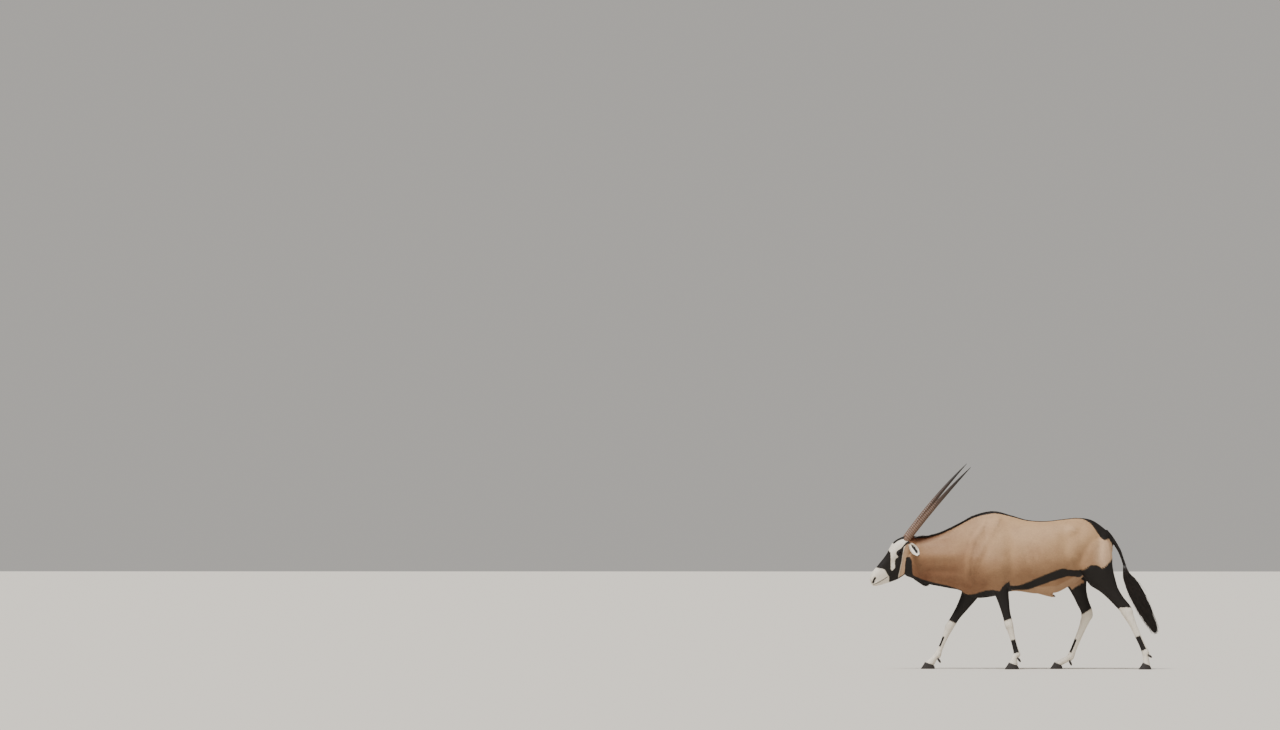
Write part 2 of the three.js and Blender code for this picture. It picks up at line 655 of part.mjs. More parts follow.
// The room for the dock, grown all round and past its lower end
const tailRoom = TAIL.map(([ax, az, bx, bz, middle, half], i) => {
  const way = vec(ax - bx, 0, az - bz).setLength(GAP);
  const down = i === TAIL.length - 1 ? vec(-way.z, 0, way.x).negate() : vec();
  if (down.z > 0) down.negate();
  return [ax + way.x + down.x, az + way.z + down.z, bx - way.x + down.x, bz - way.z + down.z,
    middle, half + GAP, 0.5, 2, 2];
});
const tailPit = tube(tailRoom, 2, 12);
addNode("tail_dock", tube(TAIL, 2, 12), COLOURS.brown);
addNode("tail_brush", brush().subtract(tailPit), COLOURS.black);
body = body.subtract(tailPit);

// A point on the trunk's outline in side view: above (0, 1) or below (2, 3), by its X
function outlineAt(x, column) {
  const i = Math.max(TRUNK.findIndex((row) => row[column] > x), 1);
  const [before, after] = [TRUNK[i - 1], TRUNK[i]];
  return mix(before[column + 1], after[column + 1], (x - before[column]) / (after[column] - before[column]));
}

// The short mane lies back along the nape, in two rows of locks that overlap
const MANE_LOCKS = 15;
const MANE_FROM = -782;
const MANE_TO = -425;
for (let i = 0; i < MANE_LOCKS; i++) {
  const x = mix(MANE_FROM, MANE_TO, i / (MANE_LOCKS - 1));
  const side = i % 2 ? 9 : -9;
  const place = (along, up, out) => vec(x + along, out * side, outlineAt(x + along, 0) + up);
  body = body.add(lock(place(0, -16, 0.3), place(22, 9, 1.2), place(58, 7, 0.6), vec(0, 1, 0), 27, 7));
}

// The throat tuft hangs from the front of the neck's lower edge
const THROAT_LOCKS = 6;
for (let i = 0; i < THROAT_LOCKS; i++) {
  const x = mix(-768, -672, i / (THROAT_LOCKS - 1));
  const side = i % 2 ? 8 : -8;
  const place = (along, down, out) => vec(x + along, out * side, outlineAt(x + along, 2) - down);
  body = body.add(lock(place(0, -16, 0.4), place(22, 14, 1), place(58, 12, 0.8), vec(0, 1, 0), 20, 7));
}

// Trunk: the head behind the jaw, then neck, chest, barrel and rump
const [headWhole, headless] = parted(body, [-772, 845], -97);
const [neck, neckless] = parted(headless, [-395, 874], -97.7);
const [chest, hindPart] = parted(neckless, [60, 800], -90);
const [barrel, rump] = parted(hindPart, [320, 800], -90);
addNode("neck", neck, COLOURS.fawn);
addNode("chest", chest, COLOURS.fawn);
addNode("barrel", barrel, COLOURS.fawn);
addNode("rump", rump, COLOURS.fawn);

// Head: ears, eyes and horns are nodes of their own
let headPart = headWhole;
for (const [name, side] of [["left", LEFT], ["right", RIGHT]]) {
  headPart = headPart.subtract(earRoot(side, GAP)).subtract(horn(side, GAP));
  addNode(`ear_${name}`, ear(side), COLOURS.white);
  const [s, h, r] = EYE_PLACE;
  addNode(`eye_${name}`, ball(headPoint(s, h, side * r), EYE_RADIUS, 12, 8), COLOURS.eye, 0.15);
  addNode(`horn_${name}`, horn(side, 0), COLOURS.horn, 0.6);
}
addNode("head", headPart, COLOURS.white);

export default group;
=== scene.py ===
import math

import bpy
import numpy as np
from mathutils import Euler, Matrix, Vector


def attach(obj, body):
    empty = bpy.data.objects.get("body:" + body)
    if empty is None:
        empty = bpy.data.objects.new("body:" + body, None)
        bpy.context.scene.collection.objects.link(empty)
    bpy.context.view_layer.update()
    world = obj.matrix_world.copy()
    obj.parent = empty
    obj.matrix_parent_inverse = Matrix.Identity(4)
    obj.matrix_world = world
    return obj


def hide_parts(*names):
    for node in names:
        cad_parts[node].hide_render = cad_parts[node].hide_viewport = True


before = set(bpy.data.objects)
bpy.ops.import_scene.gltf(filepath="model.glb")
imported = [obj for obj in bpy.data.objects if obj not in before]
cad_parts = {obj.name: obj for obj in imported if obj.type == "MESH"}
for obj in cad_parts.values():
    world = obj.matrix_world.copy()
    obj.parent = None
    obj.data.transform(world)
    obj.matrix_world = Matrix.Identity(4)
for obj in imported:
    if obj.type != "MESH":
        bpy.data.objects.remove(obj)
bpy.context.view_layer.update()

# Camera
# The animal is seen square from its left side through a long lens from far off, small and low at the
# right of the picture, as in the photograph.
IMAGE_WIDTH = 1280
IMAGE_HEIGHT = 730
LENS = 200
SENSOR = 36
MM_PER_PIXEL = 7.6
FEET_PIXEL = (1015, 669)  # where the frame's origin falls in the photograph
EYE_HEIGHT = 0.9
pixels_per_radian = LENS / SENSOR * IMAGE_WIDTH
distance = MM_PER_PIXEL / 1000 * pixels_per_radian
swing = math.atan((FEET_PIXEL[0] - IMAGE_WIDTH / 2) / pixels_per_radian)
drop = math.atan((FEET_PIXEL[1] - IMAGE_HEIGHT / 2) / pixels_per_radian)
rise = drop - math.atan(EYE_HEIGHT / distance)
lens = bpy.data.cameras.new("camera")
lens.lens = LENS
lens.sensor_width = SENSOR
lens.clip_end = 1000
camera = bpy.data.objects.new("camera", lens)
camera.location = (0, -distance, EYE_HEIGHT)
camera.rotation_euler = Euler((math.pi / 2 + rise, 0, swing))
bpy.context.scene.collection.objects.link(camera)
bpy.context.scene.camera = camera


# Floor and light
# A plain pale studio floor that runs out into a pale backdrop, one broad soft lamp high over the
# animal's near side and a little in front, and even light from all round.
def linear(colour, alpha=1):
    """An sRGB hex colour as linear red, green, blue and alpha."""
    parts = [int(colour[i : i + 2], 16) / 255 for i in (1, 3, 5)]
    return [p / 12.92 if p <= 0.04045 else ((p + 0.055) / 1.055) ** 2.4 for p in parts] + [alpha]


def add(tree, kind, links=(), **settings):
    """Adds a node to a tree, sets its inputs and its own settings by name, and links (output, input)."""
    node = tree.nodes.new(kind)
    for name, value in settings.items():
        socket = node.inputs.get(name.replace("_", " "))
        if socket is not None and not hasattr(node, name):
            socket.default_value = value
        else:
            setattr(node, name, value)
    for source, name in links:
        tree.links.new(source, node.inputs[name])
    return node


def multiply_add(tree, value, factor, plus):
    """A node for a socket times a number, plus a number or another socket."""
    node = add(tree, "ShaderNodeMath", [(value, 0)], operation="MULTIPLY_ADD")
    node.inputs[1].default_value = factor
    if isinstance(plus, float):
        node.inputs[2].default_value = plus
    else:
        tree.links.new(plus, node.inputs[2])
    return node.outputs[0]


def colour_ramp(tree, source, stops):
    """A socket's value turned to colour by two or more stops, each a position and a hex colour."""
    ramp = add(tree, "ShaderNodeValToRGB", [(source, "Fac")])
    elements = ramp.color_ramp.elements
    for element, (position, colour) in zip(elements, (stops[0], stops[-1])):
        element.position = position
        element.color = linear(colour)
    for position, colour in stops[1:-1]:
        elements.new(position).color = linear(colour)
    return ramp.outputs[0]


def new_material(name):
    """An empty node material with its output, and its tree."""
    material = bpy.data.materials.new(name)
    material.use_nodes = True
    tree = material.node_tree
    tree.nodes.clear()
    return material, tree


FLOOR_COLOUR = "#d8d2c8"
FLOOR_REACH = 250
floor_mesh = bpy.data.meshes.new("floor")
corners = [(-FLOOR_REACH, -FLOOR_REACH, 0), (FLOOR_REACH, -FLOOR_REACH, 0),
           (FLOOR_REACH, FLOOR_REACH, 0), (-FLOOR_REACH, FLOOR_REACH, 0)]
floor_mesh.from_pydata(corners, [], [(0, 1, 2, 3)])
floor = bpy.data.objects.new("floor", floor_mesh)
bpy.context.scene.collection.objects.link(floor)
paint, tree = new_material("matt_studio_paint")
shader = add(tree, "ShaderNodeBsdfPrincipled", Base_Color=linear(FLOOR_COLOUR), Roughness=0.9)
add(tree, "ShaderNodeOutputMaterial", [(shader.outputs[0], "Surface")])
floor_mesh.materials.append(paint)

world = bpy.data.worlds.new("studio")
world.use_nodes = True
background = world.node_tree.nodes["Background"]
background.inputs["Color"].default_value = linear("#e9e5df")
background.inputs["Strength"].default_value = 0.56
bpy.context.scene.world = world


def soft_sun(name, towards, strength, spread):
    """A soft far lamp that shines along the way opposite to towards, spread over so many degrees."""
    lamp = bpy.data.lights.new(name, "SUN")
    lamp.energy = strength
    lamp.angle = math.radians(spread)
    made = bpy.data.objects.new(name, lamp)
    made.rotation_euler = Vector(towards).to_track_quat("Z", "Y").to_euler()
    bpy.context.scene.collection.objects.link(made)


soft_sun("high_lamp", (-0.25, -0.42, 0.88), 4.4, 18)

# Flesh of trunk and neck
# One barrel-shaped body from inside the head to the buttocks, deep at the brisket and drawn up at the
# loin, with the hump of the withers. The coat lies on it, so it is a coat's depth slimmer than the solids.
COAT = 5  # how far the skin lies inside the solids
LEFT = -1
RIGHT = 1


def through(rows, knots, u):
    """A smooth curve through rows of numbers.

    Between two rows each number follows a cubic whose slope at a row is that of the line between its
    two neighbours. u runs from 0 to 1 with every row as far from the next, and knots are the distances.
    """
    rows = np.asarray(rows, float)
    knots = np.asarray(knots, float)
    last = len(rows) - 1
    before = np.maximum(np.arange(last + 1) - 1, 0)
    after = np.minimum(np.arange(last + 1) + 1, last)
    slope = (rows[after] - rows[before]) / (knots[after] - knots[before])[:, None]
    place = np.clip(u, 0, 1) * last
    i = np.minimum(place.astype(int), last - 1)
    f = (place - i)[:, None]
    span = (knots[i + 1] - knots[i])[:, None]
    return (
        rows[i] * (2 * f**3 - 3 * f**2 + 1)
        + slope[i] * span * (f**3 - 2 * f**2 + f)
        + rows[i + 1] * (3 * f**2 - 2 * f**3)
        + slope[i + 1] * span * (f**3 - f**2)
    )


def signed_power(value, power):
    """A value's size raised to a power, with its sign kept."""
    return np.sign(value) * np.abs(value) ** power


def closed_tube(grid):
    """Points and triangles of a tube from a grid of rings, closed by a fan at each end, facing out."""
    rings, around = grid.shape[:2]
    points = np.concatenate([grid.reshape(-1, 3), grid[0].mean(0)[None], grid[-1].mean(0)[None]])
    here = np.arange(rings * around).reshape(rings, around)
    beside = np.roll(here, -1, axis=1)
    a, b, c, d = here[:-1].ravel(), beside[:-1].ravel(), beside[1:].ravel(), here[1:].ravel()
    sides = np.concatenate([np.stack([a, b, c], 1), np.stack([a, c, d], 1)])
    first = np.stack([np.full(around, len(points) - 2), beside[0], here[0]], 1)
    final = np.stack([np.full(around, len(points) - 1), here[-1], beside[-1]], 1)
    return facing_out(points, np.concatenate([sides, first, final]))


def facing_out(points, triangles):
    """Turns all the triangles over if the volume that they close comes out negative."""
    a, b, c = (points[triangles[:, k]] for k in range(3))
    if np.einsum("ij,ij->i", a, np.cross(b, c)).sum() < 0:
        triangles = triangles[:, ::-1]
    return points, triangles


def upright_tube(rows, steps=8, sides=72, coat=COAT):
    """A closed tube through upright sections, each a row of nine numbers.

    A row holds the section's two outline points in side view, A above or in front and B below or
    behind, the place and half of its width, how far from B the widest place is, and how square the
    halves are: 2 is an ellipse. Across, a point goes by the sine of its turn, and up by the cosine,
    each raised to 2 over the squareness.
    """
    rows = np.array(rows, float)
    shares = coat / np.hypot(rows[:, 0] - rows[:, 2], rows[:, 1] - rows[:, 3])[:, None]
    tops, bottoms = rows[:, 0:2].copy(), rows[:, 2:4].copy()
    rows[:, 0:2] = tops + (bottoms - tops) * shares
    rows[:, 2:4] = bottoms + (tops - bottoms) * shares
    rows[:, 5] = np.maximum(rows[:, 5] - coat, 1)
    centres = (tops + bottoms) / 2
    moves = np.hypot(*np.diff(centres, axis=0).T)
    knots = np.concatenate([[0], np.cumsum(np.maximum(moves, 1))])
    row = through(rows, knots, np.linspace(0, 1, (len(rows) - 1) * steps + 1))
    ax, az, bx, bz, middle, half, widest, upper, lower = row.T[:, :, None]
    turn = np.linspace(0, 2 * np.pi, sides, endpoint=False)
    c, s = np.cos(turn), np.sin(turn)
    power = 2 / np.where(c >= 0, upper, lower)
    along = widest + np.where(c >= 0, 1 - widest, widest) * signed_power(c, power)
    x = bx + (ax - bx) * along
    z = bz + (az - bz) * along
    y = middle + half * signed_power(s, power)
    return np.stack([x, y, z], 2)


# top x, z, bottom x, z, middle, half width, widest, squareness of the upper and lower halves
TRUNK = [
    [-835, 955, -868, 780, 0, 48, 0.5, 2, 2],
    [-800, 988, -838, 712, 0, 66, 0.52, 2, 2],
    [-752, 1002, -790, 688, 0, 76, 0.52, 1.9, 1.9],
    [-670, 1008, -716, 655, 0, 84, 0.52, 1.8, 1.8],
    [-570, 1034, -630, 634, 0, 96, 0.52, 1.7, 1.8],
    [-441, 1096, -525, 614, 0, 116, 0.5, 1.6, 1.9],
    [-304, 1170, -418, 588, 0, 146, 0.46, 1.5, 2],
    [-167, 1200, -305, 538, 0, 172, 0.43, 1.5, 2],
    [-38, 1170, -167, 548, 0, 198, 0.42, 1.7, 2.1],
    [91, 1133, -15, 588, 0, 214, 0.42, 1.9, 2.2],
    [228, 1124, 152, 570, 0, 220, 0.44, 2, 2.2],
    [357, 1138, 304, 576, 0, 208, 0.47, 2, 2.1],
    [479, 1150, 410, 628, 0, 186, 0.52, 1.9, 2],
    [570, 1138, 517, 699, 0, 164, 0.58, 1.8, 2],
    [640, 1098, 610, 770, 0, 132, 0.6, 1.8, 2],
    [694, 1050, 678, 820, 0, 96, 0.6, 1.9, 2],
    [724, 1000, 722, 864, 0, 62, 0.55, 2, 2],
    [737, 956, 736, 892, 0, 24, 0.5, 2, 2],
]
SHEATH = [
    [150, 604, 144, 578, 0, 14, 0.5, 2, 2],
    [220, 592, 212, 560, 0, 18, 0.5, 2, 2],
    [282, 572, 274, 545, 0, 13, 0.5, 2, 2],
    [302, 557, 298, 546, 0, 5, 0.5, 2, 2],
]
SCROTUM = [
    [562, 752, 636, 770, 0, 26, 0.5, 2, 2],
    [578, 712, 632, 716, 0, 27, 0.5, 2, 2],
    [586, 686, 628, 688, 0, 25, 0.5, 2, 2],
    [598, 668, 618, 669, 0, 10, 0.5, 2, 2],
]
flesh = [closed_tube(upright_tube(TRUNK, 10, 160)),
         closed_tube(upright_tube(SHEATH, coat=2)),
         closed_tube(upright_tube(SCROTUM, coat=2))]

# Flesh of the legs
# Four legs in mid-stride. Each is one limb from the shoulder or hip, over knee or hock and fetlock,
# into the hoof: heavy muscle above, then bone and tendon close under the skin.
CORONET_HEIGHT = 50
HEEL_HEIGHT = 26
PASTERN = 78
SHOULDER_TOP = (-112, 1118)
# bone, place along it, depth in front of and behind it, distance from the mid-plane, half width, squareness
FORE_PROFILE = [
    [0, 0, 34, 38, 58, 26, 2],
    [0, 0.22, 78, 84, 78, 54, 2],
    [0, 0.48, 112, 112, 100, 70, 2],
    [0, 0.74, 128, 96, 112, 74, 2],
    [1, 0, 84, 76, 112, 62, 2],
    [1, 0.18, 58, 68, 109, 50, 2],
    [1, 0.42, 42, 53, 106, 38, 2],
    [1, 0.72, 34, 36, 104, 30, 2],
    [1, 0.9, 33, 34, 103, 31, 2.2],
    [2, 0.03, 35, 33, 103, 32, 2.3],
    [2, 0.18, 28, 29, 102, 26, 2.2],
    [2, 0.5, 21, 23, 101, 20, 2.2],
    [2, 0.82, 21, 24, 101, 20, 2.2],
    [3, 0, 27, 31, 101, 27, 2.2],
    [3, 0.35, 23, 26, 101, 27, 2.2],
]
HIND_PROFILE = [
    [0, 0, 70, 64, 66, 36, 2],
    [0, 0.2, 112, 112, 84, 68, 2],
    [0, 0.48, 118, 142, 96, 82, 2],
    [0, 0.76, 104, 150, 102, 82, 2],
    [1, 0.12, 64, 148, 107, 66, 2],
    [1, 0.32, 43, 124, 108, 52, 2],
    [1, 0.52, 36, 84, 108, 40, 2],
    [1, 0.74, 36, 62, 108, 32, 2],
    [1, 0.92, 38, 56, 108, 30, 2],
    [2, 0.04, 42, 50, 108, 31, 2.1],
    [2, 0.14, 36, 42, 108, 28, 2.1],
    [2, 0.3, 27, 34, 108, 25, 2.1],
    [2, 0.56, 24, 29, 107, 21, 2.2],
    [2, 0.82, 23, 27, 106, 20, 2.2],
    [3, 0, 28, 31, 106, 27, 2.2],
    [3, 0.35, 22, 26, 106, 26, 2.2],
]
FORE = {"lengths": (325, 232, PASTERN), "profile": FORE_PROFILE, "out": 101, "width": 36, "length": 110}
HIND = {"lengths": (364, 345, PASTERN), "profile": HIND_PROFILE, "out": 106, "width": 34, "length": 98}
# the elbow's or stifle's x, each bone's lean back from upright (degrees), and the toe's x
LEGS = {
    "fore_left": {**FORE, "side": LEFT, "x": -128, "leans": (14.4, 14.5, -34), "toe": -82},
    "fore_right": {**FORE, "side": RIGHT, "x": -330, "leans": (-31.2, -23.5, -42), "toe": -719},
    "hind_left": {**HIND, "side": LEFT, "x": 584, "leans": (44.4, 24.5, 2), "toe": 930},
    "hind_right": {**HIND, "side": RIGHT, "x": 386, "leans": (26, -22, -58), "toe": 262},
}


def joints_of(name, leg):
    """The leg's five joints in side view, each a bone's length from the one above along its lean."""
    leans = np.radians(leg["leans"])
    moves = np.array(leg["lengths"])[:, None] * np.stack([np.sin(leans), -np.cos(leans)], 1)
    first = np.array([leg["x"], CORONET_HEIGHT - moves[:, 1].sum()])
    top = SHOULDER_TOP if name.startswith("fore") else (leg["x"] / 5 + 480, 1030)
    return np.concatenate([[top, first], first + np.cumsum(moves, axis=0)])


def coronet(leg):
    """Front and back of the line where hair meets hoof."""
    return (np.array([leg["toe"] + 33, CORONET_HEIGHT]),
            np.array([leg["toe"] + leg["length"] - 8, HEEL_HEIGHT]))


def limb_rows(leg):
    """The leg's sections. Each stands square to its bone, and turns half way to the next near a joint."""
    joints = leg["joints"]
    bones = np.diff(joints, axis=0)
    bones /= np.hypot(*bones.T)[:, None]
    rows = []
    for bone, along, front, back, out, half, square in leg["profile"]:
        way = bones[bone].copy()
        if bone > 0:
            way += bones[bone - 1] * max(1 - along / 0.3, 0)
        if bone < 2:
            way += bones[bone + 1] * max(1 - (1 - along) / 0.3, 0)
        way /= np.hypot(*way)
        at = joints[bone] + (joints[bone + 1] - joints[bone]) * along
        ahead = np.array([way[1], -way[0]])
        widest = (0.5 + back / (front + back)) / 2
        middle = leg["side"] * out
        rows.append([*(at + ahead * front), *(at - ahead * back), middle, half, widest, square, square])
    toe, heel = coronet(leg)
    low = np.array(rows[-1][:4])
    above = low + (np.concatenate([toe, heel]) - low) * 0.6
    foot = [leg["side"] * leg["out"], leg["width"], 0.5, 2.3, 2.3]
    rows.append([*above, foot[0], foot[1] - 4, *foot[2:]])
    rows.append([*toe, *heel, *foot])
    rows.append([toe[0] + 4, toe[1] - 18, heel[0] - 2, heel[1] - 16, foot[0], foot[1] - 8, *foot[2:]])
    return rows


for name, leg in LEGS.items():
    leg["joints"] = joints_of(name, leg)
    flesh.append(closed_tube(upright_tube(limb_rows(leg), 10, 64, coat=3)))

# Flesh of the tail's dock
# The bony root of the tail hangs from the croup and carries the brush.
TAIL = [
    [694, 1062, 672, 1030, 0, 20, 0.5, 2, 2],
    [726, 1028, 700, 1004, 0, 19, 0.5, 2, 2],
    [765, 972, 738, 950, 0, 16, 0.5, 2, 2],
    [802, 904, 775, 890, 0, 14, 0.5, 2, 2],
    [828, 830, 802, 822, 0, 13, 0.5, 2, 2],
    [841.8, 789.8, 813.2, 783.6, 0, 14, 0.5, 2, 2],
]
flesh.append(closed_tube(upright_tube(TAIL, coat=3)))

# Flesh of the head
# A long straight face, narrow in the muzzle and deep in the jaw, worked in the head's own frame: s runs
# from the poll to the nose, h towards the forehead, r to the right. It is rolled a little to the left.
HEAD_PITCH = math.radians(48)
HEAD_ROLL = math.radians(12)
POLL = np.array([-806, 0, 996])
HEAD_MIDDLE = -75  # h of the line that the head is rolled about
nose_way = np.array([-math.cos(HEAD_PITCH), 0, -math.sin(HEAD_PITCH)])
front_flat = np.array([-math.sin(HEAD_PITCH), 0, math.cos(HEAD_PITCH)])
across = np.array([0, 1, 0])
front_way = front_flat * math.cos(HEAD_ROLL) - across * math.sin(HEAD_ROLL)
right_way = across * math.cos(HEAD_ROLL) + front_flat * math.sin(HEAD_ROLL)


def head_point(s, h, r):
    """The place of (s, h, r): from the poll along the nose, and about the rolled middle line."""
    s, h, r = (np.asarray(v, float)[..., None] for v in (s, h, r))
    return POLL + nose_way * s + front_flat * HEAD_MIDDLE + front_way * (h - HEAD_MIDDLE) + right_way * r


def head_place(points):
    """The head's own s, h and r of places in the frame: head_point the other way round."""
    way = points - POLL - front_flat * HEAD_MIDDLE
    return way @ nose_way, way @ front_way + HEAD_MIDDLE, way @ right_way


# s, upper and lower edge, half width, widest place, squareness above and below
HEAD = [
    [-25, 0, -115, 38, 0.55, 2, 2],
    [10, 32, -140, 62, 0.62, 2.2, 2],
    [60, 58, -156, 75, 0.66, 2.4, 1.9],
    [110, 67, -168, 79, 0.68, 2.5, 1.8],
    [150, 60, -174, 77, 0.7, 2.5, 1.8],
    [190, 49, -174, 68, 0.68, 2.3, 1.7],
    [235, 43, -166, 59, 0.62, 2.2, 1.8],
    [290, 40, -150, 51, 0.58, 2.2, 2],
    [340, 37, -124, 45, 0.55, 2.3, 2.1],
    [375, 36, -102, 44, 0.54, 2.4, 2.2],
    [405, 28, -84, 45, 0.54, 2.4, 2.2],
    [428, 12, -67, 40, 0.52, 2.3, 2.2],
    [444, -8, -54, 27, 0.5, 2.1, 2.1],
    [450, -24, -42, 10, 0.5, 2, 2],
]
HEAD_COAT = 2.5
EYE_RADIUS = 18
EYE_PLACE = (135, -10, 62)
LID = 3.5  # how thick the lids are


def head_section(s, h):
    """How far out the head's side lies at s and h: the section's squared ellipse solved for its width."""
    rows = np.array(HEAD, float)
    row = (np.interp(s, rows[:, 0], rows[:, k]) for k in range(1, 7))
    upper, lower, half, widest, square_up, square_down = row
    along = (h - lower) / (upper - lower) - widest
    share, square = (along / (1 - widest), square_up) if along > 0 else (-along / widest, square_down)
    cosine = min(share, 1) ** (square / 2)
    return half * (1 - cosine**2) ** (1 / square)


def head_grid(steps=12, around=128):
    """The skull and jaw: rings across the head from poll to nose, ellipses squared off by their rows."""
    rows = np.array(HEAD, float)
    rows[:, 1] -= HEAD_COAT
    rows[:, 2] += HEAD_COAT
    rows[:, 3] -= HEAD_COAT
    row = through(rows, rows[:, 0], np.linspace(0, 1, (len(rows) - 1) * steps + 1))
    s, upper, lower, half, widest, square_up, square_down = row.T[:, :, None]
    turn = np.linspace(0, 2 * np.pi, around, endpoint=False)
    c = np.cos(turn)
    power = 2 / np.where(c >= 0, square_up, square_down)
    along = widest + np.where(c >= 0, 1 - widest, widest) * signed_power(c, power)
    h = lower + (upper - lower) * along
    return head_point(s + 0 * h, h, half * signed_power(np.sin(turn), power))


def pill(start, end, radius, squash=1, around=28):
    """A round-ended bar: an ellipsoid stretched between two places."""
    start, end = np.array(start, float), np.array(end, float)
    way = end - start
    length = np.linalg.norm(way)
    way /= length
    beside = np.cross(way, [0.3, 0.2, 1.0])
    beside /= np.linalg.norm(beside)
    above = np.cross(beside, way)
    tilt = np.linspace(0.05, np.pi - 0.05, around)[:, None]
    turn = np.linspace(0, 2 * np.pi, around, endpoint=False)[None, :]
    ring = radius * np.sin(tilt)
    grid = (
        (start + end) / 2
        - way * (np.cos(tilt) * (length / 2 + radius) + 0 * turn)[..., None]
        + beside * (ring * np.cos(turn))[..., None]
        + above * (ring * np.sin(turn) * squash)[..., None]
    )
    return closed_tube(grid)


def almond(side, long=17.5, high=9.5, tilt=0.2, deep=40, around=40):
    """The opening between the lids: a prism with an almond outline, its front corner a little lower."""
    s, h, r = EYE_PLACE
    turn = np.linspace(0, 2 * np.pi, around, endpoint=False)
    x = long * np.cos(turn)
    y = high * signed_power(np.sin(turn), 1.35)
    out = np.linspace(r + 3, r + deep, 6)[:, None]
    along = x * math.cos(tilt) + y * math.sin(tilt)
    up = y * math.cos(tilt) - x * math.sin(tilt)
    return closed_tube(head_point(s + along + 0 * out, h + up + 0 * out, side * (out + 0 * along)))


def at_side(s, h, side, out=0):
    """The place on one side of the head at s and h, moved out or in."""
    return head_point(s, h, side * (head_section(s, h) + out))


head_flesh = [closed_tube(head_grid())]
pits = []
for side in (LEFT, RIGHT):
    s, h, r = EYE_PLACE
    brow = pill(head_point(s - 30, h + 23, side * 59), head_point(s + 16, h + 19, side * 60), 13)
    lids = pill(head_point(s - 2, h, side * r), head_point(s + 2, h, side * r), EYE_RADIUS + LID)
    duct = pill(head_point(s + 16, h - 5, side * 66), head_point(s + 32, h - 14, side * 60), 7)
    wing = pill(at_side(396, 8, side, -8), at_side(428, 0, side, -9), 11)
    lip = pill(at_side(392, -38, side, -10), at_side(430, -30, side, -9), 12)
    head_flesh += [brow, lids, duct, wing, lip]
    pits.append(pill(head_point(s - 0.1, h, side * r), head_point(s + 0.1, h, side * r), EYE_RADIUS + 0.2))
    pits.append(almond(side))
    pits.append(pill(at_side(398, -5, side, 1), at_side(416, -9, side, 0), 4.6))
    pits.append(pill(at_side(410, -8, side, 0), at_side(432, -18, side, -2), 6.2))


# Skin
# One hide from nose to coronets: the flesh is fused into a single close mesh, eased where limb meets
# trunk, raised and hollowed over muscle and bone, and then thinned where it is flat.
def make_mesh(name, points, triangles):
    """A Blender mesh in metres from arrays of points in millimetres and triangles."""
    mesh = bpy.data.meshes.new(name)
    triangles = np.ascontiguousarray(triangles, np.int32)
    mesh.vertices.add(len(points))
    mesh.vertices.foreach_set("co", (np.asarray(points) / 1000).astype(np.float32).ravel())
    mesh.loops.add(triangles.size)
    mesh.loops.foreach_set("vertex_index", triangles.ravel())
    mesh.polygons.add(len(triangles))
    mesh.polygons.foreach_set("loop_start", np.arange(0, triangles.size, 3, dtype=np.int32))
    mesh.polygons.foreach_set("use_smooth", np.ones(len(triangles), bool))
    mesh.update(calc_edges=True)
    return mesh


def put(name, points, triangles):
    """A new object at the origin with that mesh."""
    made = bpy.data.objects.new(name, make_mesh(name, points, triangles))
    bpy.context.scene.collection.objects.link(made)
    return made


def fused(pieces):
    """Several closed pieces as one array of points and one of triangles."""
    starts = np.cumsum([0] + [len(points) for points, _ in pieces[:-1]])
    return (np.concatenate([points for points, _ in pieces]),
            np.concatenate([faces + start for (_, faces), start in zip(pieces, starts)]))


def settled(made):
    """Replaces an object's mesh by what its modifiers make of it, as triangles."""
    made.modifiers.new("triangles", "TRIANGULATE")
    graph = bpy.context.evaluated_depsgraph_get()
    mesh = bpy.data.meshes.new_from_object(made.evaluated_get(graph))
    made.modifiers.clear()
    made.data = mesh
    return made


def read(made):
    """Points in millimetres and triangles of an object's mesh."""
    points = np.empty(len(made.data.vertices) * 3, np.float32)
    made.data.vertices.foreach_get("co", points)
    corners = np.empty(len(made.data.loops), np.int32)
    made.data.loops.foreach_get("vertex_index", corners)
    return points.reshape(-1, 3).astype(float) * 1000, corners.reshape(-1, 3)


def remesh(made, size):
    """Fuses an object's closed pieces into one even skin of squares of that size in millimetres."""
    remesher = made.modifiers.new("fuse", "REMESH")
    remesher.mode = "VOXEL"
    remesher.voxel_size = size / 1000


def combine(made, other, operation):
    """Joins or cuts an object with another by a Boolean."""
    boolean = made.modifiers.new(operation.lower(), "BOOLEAN")
    boolean.operation = operation
    boolean.solver = "MANIFOLD"
    boolean.object = other


def eased(points, triangles, weight, rounds):
    """Moves each point a weighted share of the way to the mean of its neighbours, several times over."""
    edges = np.concatenate([triangles[:, [0, 1]], triangles[:, [1, 2]], triangles[:, [2, 0]]])
    count = np.bincount(edges[:, 0], minlength=len(points))[:, None]
    for _ in range(rounds):
        total = np.stack([
            np.bincount(edges[:, 0], points[edges[:, 1], k], minlength=len(points)) for k in range(3)
        ], 1)
        points = points + (total / count - points) * weight[:, None]
    return points


BODY_CLOSE = 4.5
HEAD_CLOSE = 1.8
SKIN_TRIANGLES = 188000
body = put("body", *fused(flesh))
remesh(body, BODY_CLOSE)
skin = put("skin", *fused(head_flesh))
remesh(skin, HEAD_CLOSE)
cutters = [put("cutter", *pit) for pit in pits]
for cutter in cutters:
    combine(skin, cutter, "DIFFERENCE")
combine(skin, body, "UNION")
settled(skin)
for helper in (body, *cutters):
    bpy.data.objects.remove(helper)


def near(points, place, reach):
    """1 at a place, falling off as a bell over the reach in millimetres, which may differ by axis."""
    return np.exp(-(((points - np.array(place)) / np.array(reach)) ** 2).sum(1))


